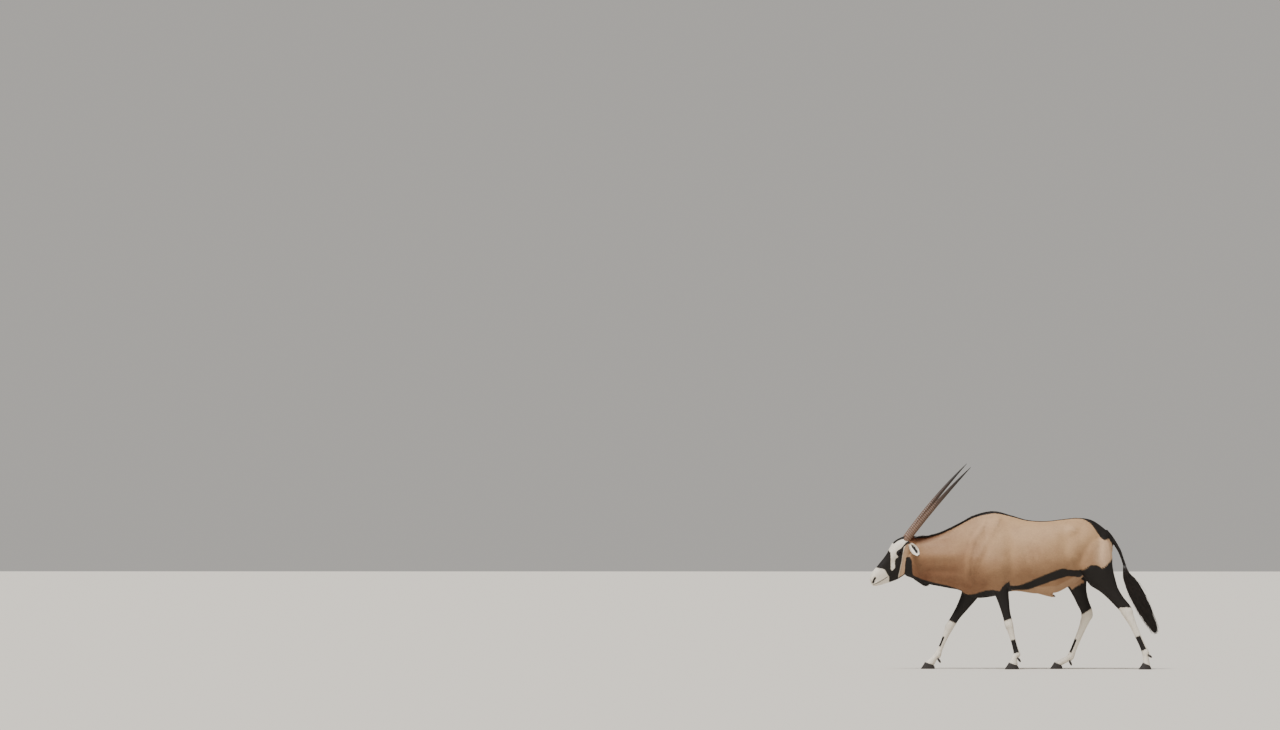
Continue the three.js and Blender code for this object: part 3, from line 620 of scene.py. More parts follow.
def apart(x, z, line):
    """Distance in side view from a line through points."""
    least = np.full(len(x), 1e9)
    for (ax, az), (bx, bz) in zip(line[:-1], line[1:]):
        span = (bx - ax) ** 2 + (bz - az) ** 2
        share = np.clip(((x - ax) * (bx - ax) + (z - az) * (bz - az)) / span, 0, 1)
        least = np.minimum(least, np.hypot(x - ax - share * (bx - ax), z - az - share * (bz - az)))
    return least


def inside(x, z, outline):
    """Distance inside a closed outline in side view, negative outside: to the nearest edge, signed by
    whether a line from the point crosses the outline an odd number of times."""
    odd = np.zeros(len(x), bool)
    for (ax, az), (bx, bz) in zip(outline, outline[1:] + outline[:1]):
        crosses = (az > z) != (bz > z)
        odd ^= crosses & (x < ax + (z - az) / (bz - az if bz != az else 1) * (bx - ax))
    edge = apart(x, z, outline + outline[:1])
    return np.where(odd, edge, -edge)


def step(value, soft):
    """0 below minus soft, 1 above soft, and a smooth S between."""
    share = np.clip(value / soft / 2 + 0.5, 0, 1)
    return share * share * (3 - 2 * share)


def normals_of(points, triangles):
    """Each point's outward way: the mean of its triangles' ways, weighted by their size."""
    a, b, c = (points[triangles[:, k]] for k in range(3))
    face = np.cross(b - a, c - a)
    total = np.stack([sum(np.bincount(triangles[:, j], face[:, k], minlength=len(points)) for j in range(3))
                      for k in range(3)], 1)
    return total / (np.linalg.norm(total, axis=1, keepdims=True) + 1e-12)


# Muscle and bone under the hide, on both sides: x, out, z, reach along each, and height
FORMS = [
    (-150, 150, 770, 95, 80, 95, 17),  # back of the upper arm
    (-310, 130, 800, 56, 80, 80, 14),  # point of the shoulder
    (-22, 200, 790, 52, 90, 180, -15),  # hollow behind the shoulder
    (-110, 110, 1110, 75, 60, 65, 7),  # top of the shoulder blade
    (-205, 130, 970, 44, 60, 120, -9),  # hollow along the blade
    (-95, 150, 662, 36, 60, 32, 7),  # elbow
    (440, 150, 1056, 46, 60, 38, 15),  # hip bone
    (392, 160, 950, 60, 60, 92, -19),  # flank in front of the hip
    (425, 180, 810, 34, 60, 70, 6),  # fold of the flank
    (540, 160, 930, 90, 70, 110, 8),  # thigh
    (640, 130, 900, 30, 70, 120, -9),  # groove of the hamstring
    (700, 80, 870, 34, 60, 110, 7),  # back of the thigh
    (690, 60, 1000, 34, 40, 38, 7),  # pin bone
    (545, 160, 745, 60, 60, 56, 9),  # stifle
    (140, 210, 790, 150, 90, 130, 9),  # ribs
    (300, 120, 1110, 150, 40, 30, 4),  # loin
    (-560, 90, 860, 150, 60, 40, 8),  # long muscle of the neck
    (-590, 90, 742, 160, 60, 30, -8),  # groove of the throat
    (-640, 80, 960, 130, 60, 26, -4),  # hollow under the crest of the neck
    (-375, 60, 650, 46, 46, 60, 9),  # breast
    (-400, 0, 640, 60, 18, 70, -6),  # cleft between the breasts
]
# The same on the head: s, h, out, reach along each, and height
HEAD_FORMS = [
    (135, -108, 70, 58, 42, 40, 4),  # jaw muscle
    (225, -22, 55, 46, 24, 30, -5),  # hollow before the eye
    (228, -62, 55, 52, 11, 30, 3),  # cheek ridge
    (300, -8, 45, 46, 22, 30, -3),  # side of the nose
    (100, 18, 60, 26, 20, 30, -4),  # temple
    (178, -120, 60, 30, 60, 40, -2),  # edge of the jaw muscle
]
SHOULDER = [(-120, 1130), (-240, 1090), (-320, 990), (-352, 880), (-362, 730), (-330, 640),
            (-200, 630), (-75, 660), (-45, 800), (-50, 920), (-80, 1070)]
SPINE_OF_BLADE = [(-130, 1110), (-200, 980), (-270, 850)]
MOUTH = [(452, -33), (438, -34), (405, -47), (360, -62), (326, -70)]

points, triangles = read(skin)
weight = np.full(len(points), 0.2)
for side in (LEFT, RIGHT):
    weight += near(points, (-250, side * 100, 680), (180, 60, 140))
    weight += near(points, (500, side * 100, 780), (160, 60, 160))
weight += near(points, (-810, 0, 850), (50, 120, 160))
weight = np.clip(weight, 0, 0.7)
s, h, r = head_place(points)
weight = np.where(s > 60, 0.08, weight)
weight = np.where(points[:, 2] < 500, 0.15, weight)
for side in (LEFT, RIGHT):
    weight *= 1 - near(points, head_point(EYE_PLACE[0], EYE_PLACE[1], side * 76), 24)
points = eased(points, triangles, weight, 14)
folds = np.zeros(len(points))
for side in (LEFT, RIGHT):
    folds += near(points, (500, side * 150, 850), (120, 80, 150))
    folds += near(points, (386, side * 120, 760), (90, 80, 90)) * (side == RIGHT)
    folds += near(points, (-230, side * 140, 700), (170, 80, 110)) * 0.5
points = eased(points, triangles, np.clip(folds, 0, 0.75), 45)

normals = normals_of(points, triangles)
x, y, z = points.T
outer = np.abs(normals[:, 1])
lift = np.zeros(len(points))
for side in (LEFT, RIGHT):
    for px, py, pz, rx, ry, rz, height in FORMS:
        lift += height * near(points, (px, side * py, pz), (rx, ry, rz))
    for ps, ph, pr, rs, rh, rr, height in HEAD_FORMS:
        lift += height * near(np.stack([s, h, r], 1), (ps, ph, side * pr), (rs, rh, rr))
blade = inside(x, z, SHOULDER)
lift += 11 * step(blade, np.where(x < -240, 27, 52)) * outer * step(np.abs(y) - 50, 20)
lift += 5 * np.exp(-((apart(x, z, SPINE_OF_BLADE) / 30) ** 2)) * outer
ribs = np.sin((x + 0.35 * (z - 800)) / 9.5) * near(points * [1, 0, 1], (130, 0, 820), (120, 1, 110))
lift += 0.8 * ribs * outer
lips = apart(s, h, MOUTH)
muzzle = (s > 300) & (np.abs(normals @ front_way) < 0.8)
lift += np.where(muzzle, 1.8 * np.exp(-(((lips - 7) / 4.5) ** 2)) - 3.2 * np.exp(-((lips / 2.2) ** 2)), 0)
points += normals * lift[:, None]
points = eased(points, triangles, np.where(s > 60, 0.0, 0.3), 3)
skin.data.vertices.foreach_set("co", (points / 1000).astype(np.float32).ravel())
thin = skin.modifiers.new("thin", "DECIMATE")
thin.ratio = min(SKIN_TRIANGLES / len(triangles), 1)
settled(skin)

# Markings
# The hide is fawn, with the species' black and white: face, throat, flank stripe, thighs, legs and
# croup. Each marking is worked out as a distance in millimetres inside its edge, from body measures.
# Painted shade is laid in as well: the fawn turns dark reddish brown low on the body, the cream of
# cheek, belly and buttock is partly painted shade on white hair, and the nostrils are painted black.
FLANK_STRIPE = [(-64, 634), (30, 640), (97, 666), (205, 712), (311, 755), (352, 766), (435, 751),
                (519, 757), (562, 792), (600, 792), (600, 640), (562, 640), (522, 672), (477, 697),
                (393, 706), (311, 683), (234, 655), (150, 625), (97, 606), (-45, 600)]
THIGH = [(-107, -5), (-107, 48), (-65, 55), (-22, 88), (30, 90), (83, 58), (150, 14), (230, -90),
         (300, -190), (180, -330), (-60, -330), (-60, -120), (-23, -62)]  # from the stifle
BUTTOCK = [(648, 990), (780, 1000), (780, 690), (730, 714), (667, 757), (634, 785), (612, 830),
           (614, 920)]
THROAT = [(-826, 846), (-800, 852), (-784, 826), (-779, 720), (-765, 660), (-850, 660), (-838, 735),
          (-834, 800)]
EYE_STRIPE = [(20, 12), (44, 8), (95, 6), (122, 14), (143, 8), (156, -4), (159, -20), (170, -21),
              (187, -18), (202, -26), (241, -64), (267, -63), (296, -66), (324, -80), (345, -102),
              (355, -116), (356, -200), (280, -200), (297, -150), (272, -131), (223, -99), (173, -68),
              (131, -36), (78, -3), (44, -8), (22, -12)]
NOSE_PATCH = [(172, 90), (177, 38), (230, -11), (269, -46), (272, -66), (300, -75), (330, -90),
              (324, -80), (314, -52), (303, -12), (316, 10), (334, 34), (336, 90)]
FACE = [(30, 110), (30, 0), (78, -10), (131, -40), (173, -72), (223, -104), (285, -146), (300, -220),
        (490, -220), (490, 110)]
CHEEK = [(38, -12), (78, -10), (131, -34), (173, -66), (223, -97), (285, -140), (290, -215),
         (236, -205), (190, -150), (150, -112), (128, -92), (96, -60), (62, -40)]
# How deep below the trunk's upper outline the black of back and croup goes, and how far out: x, deep, out
RIDGE = np.array([[-760, -10, 10], [-640, 3, 12], [-480, 8, 18], [-300, 12, 26], [440, 11, 26],
                  [498, 14, 34], [540, 26, 60], [581, 44, 90], [623, 74, 120], [648, 92, 130],
                  [672, 84, 120], [701, 52, 80], [735, 10, 50]]).T
# How high above the trunk's lower outline the black of throat and brisket goes: x, high
KEEL = np.array([[-848, -40], [-826, 8], [-806, 26], [-700, 24], [-600, 20], [-500, 17], [-418, 10],
                 [-380, -4], [-337, 12], [-314, 26], [-285, 38], [-230, 50], [-169, 50], [-110, 26],
                 [-60, -40]]).T
DOCK = [(683, 1046), (713, 1016), (751, 961), (788, 897), (815, 826), (828, 787)]


def side_line(rows, column, x):
    """Height of the trunk's upper or lower outline at x."""
    line = np.array(rows)[:, column : column + 2]
    return np.interp(x, line[:, 0], line[:, 1])


def blend(a, b, soft=8.0):
    """The larger of two distances, rounded off where they are alike."""
    share = np.clip(0.5 + 0.5 * (a - b) / soft, 0, 1)
    return b + (a - b) * share + soft * share * (1 - share) / 4


def leg_place(leg, points):
    """Where points lie on a leg: bone number plus share along it, distance in front, and from its line."""
    x, z = points[:, 0], points[:, 2]
    best = np.full(len(points), 1e9)
    place, front = np.zeros(len(points)), np.zeros(len(points))
    for i, (a, b) in enumerate(zip(leg["joints"][:-1], leg["joints"][1:])):
        way = b - a
        length = np.hypot(*way)
        way = way / length
        along = (x - a[0]) * way[0] + (z - a[1]) * way[1]
        share = np.clip(along / length, 0, 1)
        off = np.hypot(x - a[0] - share * length * way[0], z - a[1] - share * length * way[1])
        closer = off < best
        best = np.where(closer, off, best)
        place = np.where(closer, i + share, place)
        front = np.where(closer, (x - a[0]) * way[1] - (z - a[1]) * way[0], front)
    return place, front, best


def leg_markings(name, leg, points):
    """Black and white on one leg: dark above knee or hock, white below with a black patch in front."""
    x, y, z = points.T
    place, front, off = leg_place(leg, points)
    own = np.minimum(leg["side"] * y - 12 - 22 * step(z - 630, 30), 160 - off)
    length, cannon = leg["lengths"][:2]
    if name.startswith("fore"):
        dark = np.minimum((place - 1.17) * length - 0.9 * front, front + 82)
        bottom = 1.88 if leg["side"] == LEFT else 1.86
        patch = (2.5, 2.95, 14) if leg["side"] == LEFT else (2.36, 2.72, 6)
        own = np.minimum(own, 700 - z)
    else:
        stifle = leg["joints"][1]
        turn = math.radians(0 if leg["side"] == LEFT else -14)
        dx, dz = x - stifle[0], z - stifle[1]
        ahead = dx * math.cos(turn) + dz * math.sin(turn)
        above = dz * math.cos(turn) - dx * math.sin(turn)
        outline = inside(ahead, above, THIGH)
        within = (place - 1.5) * length + 0.3 * np.minimum(front, 0)
        dark = np.maximum(np.minimum(outline, leg["side"] * y - leg["out"] + 30), within)
        bottom = 1.84 if leg["side"] == LEFT else 1.93
        patch = (2.6, 2.93, 12) if leg["side"] == LEFT else (2.58, 2.9, 6)
    low = (bottom - place) * length + 0.12 * front
    dark = np.minimum(dark, low)
    around = (leg["side"] * y - leg["out"]) * 0.5
    ends = np.minimum((place - patch[0]) * cannon, (patch[1] - place) * cannon)
    shin = np.minimum(ends, front + patch[2] + around)
    shin = np.where(place > 2, shin, -60)
    pale = np.minimum(-low, 60)
    return np.minimum(blend(dark, shin, 4), own), np.minimum(pale, own)


def markings(points):
    """How far inside the black, white, cream and red-brown each point of the coat lies, in millimetres,
    and how reddish and dark its fawn is, from 0 on the greyish back to 1 on the reddish neck and low
    flanks. The dark low down is partly painted shade, the cream is partly painted shade on white hair,
    and the black takes in painted shade inside the nostrils."""
    x, y, z = points.T
    s, h, r = head_place(points)
    top = side_line(TRUNK, 0, x) - z
    below = z - side_line(TRUNK, 2, x)
    deep, out = np.interp(x, RIDGE[0], RIDGE[1]), np.interp(x, RIDGE[0], RIDGE[2])
    back = np.minimum(deep + 6 - top, out - np.abs(y))
    keel = np.interp(x, *KEEL) + COAT - below
    stripe = np.minimum(inside(x, z, FLANK_STRIPE), np.abs(y) - 60)
    black = blend(blend(back, keel), stripe)
    black = np.where((z > 470) & (x > -845), black, -60)
    black = blend(black, inside(x, z, THROAT))
    black = blend(black, np.minimum(24 - apart(x, z, DOCK), 30 - np.abs(y)))

    sheath_tip = np.minimum(13 - np.hypot(x - 299, z - 551), 30 - np.abs(y))
    black = blend(black, sheath_tip, 3)
    # belly and buttock take cream: partly the coat's own, partly painted shade on white hair
    belly = np.minimum(np.minimum(np.minimum(x + 40, 470 - x) * 0.4, 40 - below), -9)
    cream_and_shade = np.maximum(belly, inside(x, z, BUTTOCK) * 0.6)
    cream_and_shade = np.where(z > 520, cream_and_shade, -60)
    white = np.full(len(points), -60.0)
    for name, leg in LEGS.items():
        dark, pale = leg_markings(name, leg, points)
        black = blend(black, dark)
        white = np.maximum(white, pale)

    between = np.minimum(np.minimum(x - 540, 655 - x), np.minimum(782 - z, 42 - np.abs(y)))
    black = np.where((z > 655) & (between > 0), -20, black)

    ahead = x < -780
    blaze = np.minimum.reduce([114 - s, 42 - np.abs(r) - 0.1 * (s - 20), h - 34])
    stripes = blend(inside(s, h, EYE_STRIPE), inside(s, h, NOSE_PATCH))
    # black in and just round the nostril openings: painted shade inside the nostrils
    nostril_shade = 7.5 - apart(s, h, [(398, -5), (416, -9), (433, -18)])
    lids = 26 - np.hypot(s - EYE_PLACE[0], h - EYE_PLACE[1])
    mouth = 2.6 - apart(s, h, MOUTH)
    rows = np.array(HEAD)
    jaw = np.minimum(np.interp(s, rows[:, 0], rows[:, 2]) + 13 - h, np.minimum(s - 176, 300 - s))
    dark = blend(np.maximum.reduce([nostril_shade, mouth, lids, jaw]), blend(stripes, blaze))
    black = np.where(ahead, blend(black, dark), black)
    white = np.where(ahead, np.maximum(white, inside(s, h, FACE)), white)
    # the cheek behind the eye stripe takes cream: partly the coat's own, partly painted shade on white hair
    cream_and_shade = np.where(ahead, np.maximum(cream_and_shade, inside(s, h, CHEEK)), cream_and_shade)
    brown = 42 - top - 0.16 * np.abs(x + 740)
    # the neck and lower body go dark reddish brown: partly the coat's own red tone, partly painted shade
    # low down
    warm_and_shade = step(-x - 320, 260) * 0.34 + step(850 - z, 190) * 0.52 + 0.02
    return {"black": black, "white": white, "cream_and_shade": cream_and_shade, "brown": brown, "warm_and_shade": warm_and_shade * 60}


def store(made, name, values, kind="FLOAT"):
    """Keeps a number, or with kind FLOAT_VECTOR three numbers, on each of an object's points."""
    attribute = made.data.attributes.new(name, kind, "POINT")
    field = "vector" if kind == "FLOAT_VECTOR" else "value"
    attribute.data.foreach_set(field, values.astype(np.float32).ravel())


def mark(made, fields, tone):
    """Stores the markings on an object's points, in centimetres, and each point's own tone."""
    for name, values in {**fields, "tone": tone * 10}.items():
        store(made, name, np.clip(values / 10, -6, 6))


# Short hair: a sleek, flat coat one to two centimetres long. Each hair is matt with a soft shine, fawn
# with the markings, a little uneven in tone, and the strands lie a millimetre or two apart. The fawn
# is darkened low on the body as painted shade.
# the second fawn is a dark reddish brown: the coat's own red tone, deepened to serve as painted shade low
# on the body
FAWN_GREY = "#b8946e"
FAWN_WARM_AND_SHADE = "#73472c"
BLACK = "#17120f"
WHITE = "#ece3d3"
# a light tan: partly the coat's cream, partly painted shade on the white hair of cheek, belly and buttock
CREAM_AND_SHADE = "#cdab8a"
BROWN = "#6f3f25"
# each marking laid over the fawn in turn, its colour and how softly it ends, in centimetres; the
# cream is partly painted shade on white hair
LAYERS = (("brown", BROWN, 2.5), ("cream_and_shade", CREAM_AND_SHADE, 2.2), ("white", WHITE, 0.3), ("black", BLACK, 0.16))


def hair_material(name, strand, bump):
    """Hair coloured by the markings, with strands of that width in millimetres."""
    material, tree = new_material(name)
    place = add(tree, "ShaderNodeTexCoord").outputs["Object"]
    patchy = add(tree, "ShaderNodeTexNoise", [(place, "Vector")], Scale=6.0, Detail=4.0, Roughness=0.65)
    fine = add(tree, "ShaderNodeTexNoise", [(place, "Vector")], Scale=1000 / strand / 3, Detail=2.0)
    # the reddish share, which also lays painted shade over the lower body
    warm_and_shade = add(tree, "ShaderNodeAttribute", attribute_name="warm_and_shade")
    uneven = multiply_add(tree, patchy.outputs["Fac"], 0.7, -0.35)
    share = multiply_add(tree, warm_and_shade.outputs["Fac"], 1 / 6, uneven)
    share.node.use_clamp = True
    fawn = add(tree, "ShaderNodeMix", [(share, "Factor")], data_type="RGBA")
    fawn.inputs[6].default_value = linear(FAWN_GREY)
    fawn.inputs[7].default_value = linear(FAWN_WARM_AND_SHADE)
    last = fawn.outputs[2]
    for layer, shade, soft in LAYERS:
        depth = add(tree, "ShaderNodeAttribute", attribute_name=layer)
        rough = multiply_add(tree, fine.outputs["Fac"], 0.5, depth.outputs["Fac"])
        edge = add(tree, "ShaderNodeMapRange", [(rough, "Value")],
                   From_Min=0.25 - soft, From_Max=0.25 + soft)
        mixed = add(tree, "ShaderNodeMix", [(edge.outputs[0], "Factor")], data_type="RGBA")
        mixed.inputs[7].default_value = linear(shade)
        tree.links.new(last, mixed.inputs[6])
        last = mixed.outputs[2]
    tone = add(tree, "ShaderNodeAttribute", attribute_name="tone")
    value = add(tree, "ShaderNodeMapRange", [(tone.outputs["Fac"], "Value")], To_Min=0.87, To_Max=1.12)
    toned = add(tree, "ShaderNodeHueSaturation", [(last, "Color"), (value.outputs[0], "Value")])
    raised = add(tree, "ShaderNodeBump", [(fine.outputs["Fac"], "Height")], Strength=bump, Distance=0.002)
    surface = [(toned.outputs[0], "Base Color"), (raised.outputs[0], "Normal")]
    shader = add(tree, "ShaderNodeBsdfPrincipled", surface, Roughness=0.6)
    shader.inputs["Specular IOR Level"].default_value = 0.35
    add(tree, "ShaderNodeOutputMaterial", [(shader.outputs[0], "Surface")])
    return material


skin_points, skin_triangles = read(skin)
mark(skin, markings(skin_points), np.full(len(skin_points), 0.5))
sleek = hair_material("sleek_short_hair", 2, 0.5)
skin.data.materials.clear()
skin.data.materials.append(sleek)
skin.data.polygons.foreach_set("use_smooth", np.ones(len(skin.data.polygons), bool))
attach(skin, "root")
limb_nodes = [f"{name}_{part}" for name in LEGS for part in
              (("forearm" if name.startswith("fore") else "gaskin"), "cannon")]
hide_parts("neck", "chest", "barrel", "rump", "head", "tail_dock", *limb_nodes)

# Short coat
# The hide's hair as thousands of small flat tufts that overlap like tiles, each a closed blade with its
# root sunk in the skin. They lie from head to tail and down the legs, shortest on face and feet.
random = np.random.default_rng(7)


def leg_share(points):
    """How much the coat of a point follows a leg, from 0 to 1, and the leg's way down there."""
    share, way = np.zeros(len(points)), np.zeros((len(points), 3))
    way[:, 2] = -1
    for leg in LEGS.values():
        place, _, off = leg_place(leg, points)
        mine = step(place - 0.95, 0.3) * step(130 - off, 20) * (leg["side"] * points[:, 1] > 8)
        bones = np.diff(leg["joints"], axis=0)
        bone = np.minimum(place, 3.999).astype(int)
        way[mine > 0, 0::2] = bones[bone][mine > 0]
        share = np.maximum(share, mine)
    return share, way / np.linalg.norm(way, axis=1, keepdims=True)


def lie_of(points):
    """The way the hair points: back and a little down on the trunk, down on legs, back from the nose."""
    share, down = leg_share(points)
    trunk = np.stack([np.full(len(points), 0.93), 0 * share, -0.3 - 0.6 * step(points[:, 0] - 640, 60)], 1)
    face = step(head_place(points)[0] - 40, 40) * (points[:, 0] < -770)
    way = trunk * (1 - share)[:, None] + down * share[:, None]
    return way * (1 - face)[:, None] - nose_way * face[:, None]


def scattered(points, triangles, normals, spacing):
    """Roots spread evenly over triangles: many random places by area, one kept in each small cube."""
    a, b, c = (points[triangles[:, k]] for k in range(3))
    area = np.linalg.norm(np.cross(b - a, c - a), axis=1) / 2
    ends = np.cumsum(area)
    chosen = np.searchsorted(ends, random.random(int(ends[-1] / spacing**2 * 2.6)) * ends[-1])
    u, v = random.random((2, len(chosen)))
    u, v = np.where(u + v > 1, 1 - u, u), np.where(u + v > 1, 1 - v, v)
    corner = triangles[chosen]
    weights = np.stack([1 - u - v, u, v], 1)
    roots = np.einsum("ij,ijk->ik", weights, points[corner])
    ways = np.einsum("ij,ijk->ik", weights, normals[corner])
    cell = np.floor(roots / spacing).astype(np.int64) + 2000
    _, first = np.unique(cell @ np.array([1, 5000, 25000000]), return_index=True)
    return roots[first], ways[first] / np.linalg.norm(ways[first], axis=1, keepdims=True)


def tufts(roots, normals, lie, length, width):
    """Flat closed blades of five points: a sunk root, the two edges and crest of the widest place, and
    the point, which lies close over the skin. Each turns, stretches and lifts a little by chance.
    Returns points, triangles and each point's way for shading."""
    count = len(roots)
    lie = lie - normals * (lie * normals).sum(1, keepdims=True)
    lie /= np.linalg.norm(lie, axis=1, keepdims=True) + 1e-9
    beside = np.cross(normals, lie)
    turn = random.normal(0, 0.2, count)[:, None]
    lie, beside = lie * np.cos(turn) + beside * np.sin(turn), beside * np.cos(turn) - lie * np.sin(turn)
    long = (length * (0.75 + 0.5 * random.random(count)))[:, None]
    wide = (width * (0.8 + 0.4 * random.random(count)))[:, None] / 2
    high = (width * (0.22 + 0.2 * random.random(count)))[:, None]
    middle = roots + lie * long * 0.42
    blade = np.stack([
        roots - normals * 1.5 - lie * long * 0.08,
        middle + beside * wide - normals * 0.2,
        middle - beside * wide - normals * 0.2,
        middle + normals * high * 1.1,
        roots + lie * long + normals * high * 0.55,
    ], 1)
    aside = beside * 0.4
    ways = np.stack([normals, normals + aside, normals - aside, normals, normals + lie * 0.15], 1)
    faces = np.array([[0, 3, 1], [0, 2, 3], [0, 1, 2], [4, 1, 3], [4, 3, 2], [4, 2, 1]])
    faces = faces[None] + np.arange(count)[:, None, None] * 5
    return blade.reshape(-1, 3), faces.reshape(-1, 3), ways.reshape(-1, 3)


def shade_as(made, ways):
    """Shades a piece as if its surface faced these ways, so that flat hair shades like the hide."""
    ways = ways / np.linalg.norm(ways, axis=1, keepdims=True)
    made.data.normals_split_custom_set_from_vertices(ways.astype(np.float32))


def patch_map(made, places, each):
    """The OFBake map: each blade or strand a small patch at its root's place on the unwrapped skin.

    places holds a length and a turn for each root, which are spread over the whole map.
    """
    low, high = places.min(0), places.max(0)
    spots = 0.01 + 0.98 * (places - low) / (high - low + 1e-9)
    corners = np.empty(len(made.data.loops), np.int32)
    made.data.loops.foreach_get("vertex_index", corners)
    turn = corners % each * 2.4
    spread = np.stack([np.cos(turn), np.sin(turn)], 1) * 0.0015
    layer = made.data.uv_layers.new(name="OFBake")
    layer.data.foreach_set("uv", (spots[corners // each] + spread).astype(np.float32).ravel())


# spacing, length and width of the tufts
TRUNK_TUFT = (4.7, 17, 3.4)
RUMP_TUFT = (4.7, 16, 3.4)
LEG_TUFT = (3.4, 10, 2.0)
HEAD_TUFT = (2.8, 7, 1.6)
HOOF_TOP = 27  # lower down the skin lies inside the hooves


def coat_piece(name, part, tuft, unwrap):
    """One piece of the coat over some of the skin's triangles."""
    spacing, length, width = tuft
    roots, ways = scattered(skin_points, skin_triangles[part], skin_normals, spacing)
    longer = 1 + 0.8 * step(66 - roots[:, 2], 14)  # the fringe over the hooves
    points, triangles, shading = tufts(roots, ways, lie_of(roots), length * longer, width)
    made = put(name, points, triangles)
    shade_as(made, shading)
    fields = {key: np.repeat(values, 5) for key, values in markings(roots).items()}
    mark(made, fields, np.repeat(random.random(len(roots)), 5))
    made.data.materials.append(sleek)
    patch_map(made, unwrap(roots), 5)
    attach(made, "root")


def round_trunk(points):
    """The trunk cut along its underside and rolled out flat: x, and the turn about its middle line."""
    return np.stack([points[:, 0], np.arctan2(points[:, 1], points[:, 2] - 860)], 1)


def round_head(points):
    """The head cut along the jaw and rolled out flat: s, and the turn about its middle line."""
    s, h, r = head_place(points)
    return np.stack([s, np.arctan2(r, h + 50)], 1)


def round_legs(points):
    """The four legs cut along their inner backs and rolled out side by side."""
    unrolled = np.zeros((len(points), 2))
    nearest = np.full(len(points), 1e9)
    for i, leg in enumerate(LEGS.values()):
        place, front, off = leg_place(leg, points)
        off = np.where(leg["side"] * points[:, 1] > 0, off, 1e8)
        turn = np.arctan2(points[:, 1] - leg["side"] * leg["out"], front)
        mine = off < nearest
        nearest = np.where(mine, off, nearest)
        unrolled[mine] = np.stack([place, turn + 7 * i], 1)[mine]
    return unrolled


skin_normals = normals_of(skin_points, skin_triangles)
centres = skin_points[skin_triangles].mean(1)
on_leg = (leg_share(centres)[0] > 0.5) & (centres[:, 2] < 640)
on_head = (head_place(centres)[0] > 45) & (centres[:, 0] < -770)
on_trunk = ~on_leg & ~on_head
on_leg &= centres[:, 2] > HOOF_TOP
x, y, z = centres.T
eyes = np.min([np.linalg.norm(centres - head_point(EYE_PLACE[0], EYE_PLACE[1], side * 80), axis=1)
               for side in (LEFT, RIGHT)], axis=0)
nose = np.min([np.linalg.norm(centres - at_side(422, -4, side), axis=1) for side in (LEFT, RIGHT)], axis=0)
on_head &= (eyes > 17) & (nose > 15)
coat_piece("coat_neck", on_trunk & (x < -330), TRUNK_TUFT, round_trunk)
coat_piece("coat_shoulder", on_trunk & (x >= -330) & (x < 20), TRUNK_TUFT, round_trunk)
coat_piece("coat_flank", on_trunk & (x >= 20) & (x < 370), TRUNK_TUFT, round_trunk)
coat_piece("coat_rump", on_trunk & (x >= 370), RUMP_TUFT, round_trunk)
coat_piece("coat_fore_legs", on_leg & (x < 140), LEG_TUFT, round_legs)
coat_piece("coat_hind_legs", on_leg & (x >= 140), LEG_TUFT, round_legs)
coat_piece("coat_head", on_head, HEAD_TUFT, round_head)

# Mane and throat tuft
# Stiff hair, longest behind the horns, shorter to the withers and on to the loin as a dark crest, and a
# tuft of soft black hair that hangs under the throat. They grow from the hide, one to five cm long.
def strands(paths, flat, width, thick):
    """Flat tapered strands: four points round each place of a path, along flat and square to it.

    paths is strands by places by 3, flat their wide way, width and thick are strands by places. The
    first ring is closed by a face, and the last place is the point.
    """
    count, places = paths.shape[:2]
    way = np.gradient(paths, axis=1)
    way /= np.linalg.norm(way, axis=2, keepdims=True) + 1e-9
    flat = flat - way * (flat * way).sum(2, keepdims=True)
    flat /= np.linalg.norm(flat, axis=2, keepdims=True) + 1e-9
    over = np.cross(way, flat)
    a, b = flat * width[..., None] / 2, over * thick[..., None] / 2
    rings = np.stack([paths + a, paths + b, paths - a, paths - b], 2)[:, :-1]
    points = np.concatenate([rings.reshape(count, -1, 3), paths[:, -1:]], 1)
    each = points.shape[1]
    here = np.arange((places - 1) * 4).reshape(places - 1, 4)
    beside = np.roll(here, -1, axis=1)
    p, q, u, v = here[:-1].ravel(), beside[:-1].ravel(), beside[1:].ravel(), here[1:].ravel()
    tip = np.stack([here[-1], beside[-1], np.full(4, each - 1)], 1)
    faces = np.concatenate([np.stack([p, q, u], 1), np.stack([p, u, v], 1), tip, [[0, 3, 2], [0, 2, 1]]])
    faces = faces[None] + (np.arange(count) * each)[:, None, None]
    return points.reshape(-1, 3), faces.reshape(-1, 3), each


def coarse_hair(name, colour, other):
    """Long coarse hair of one colour, a little lighter in places, with a soft shine."""
    material, tree = new_material(name)
    place = add(tree, "ShaderNodeTexCoord").outputs["Object"]
    tone = add(tree, "ShaderNodeTexNoise", [(place, "Vector")], Scale=70.0, Detail=3.0)
    mixed = colour_ramp(tree, tone.outputs["Fac"], [(0.35, colour), (0.7, other)])
    shader = add(tree, "ShaderNodeBsdfPrincipled", [(mixed, "Base Color")], Roughness=0.48)
    add(tree, "ShaderNodeOutputMaterial", [(shader.outputs[0], "Surface")])
    return material


def locks(name, material, roots, paths, flat, width, unwrap):
    u = np.linspace(0, 1, paths.shape[1])
    widths = width[:, None] * (1 - 0.85 * u**2)
    points, triangles, each = strands(paths, flat, widths, widths * 0.35)
    made = put(name, points, triangles)
    made.data.materials.append(material)
    patch_map(made, unwrap(roots), each)
    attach(made, "root")
    return made


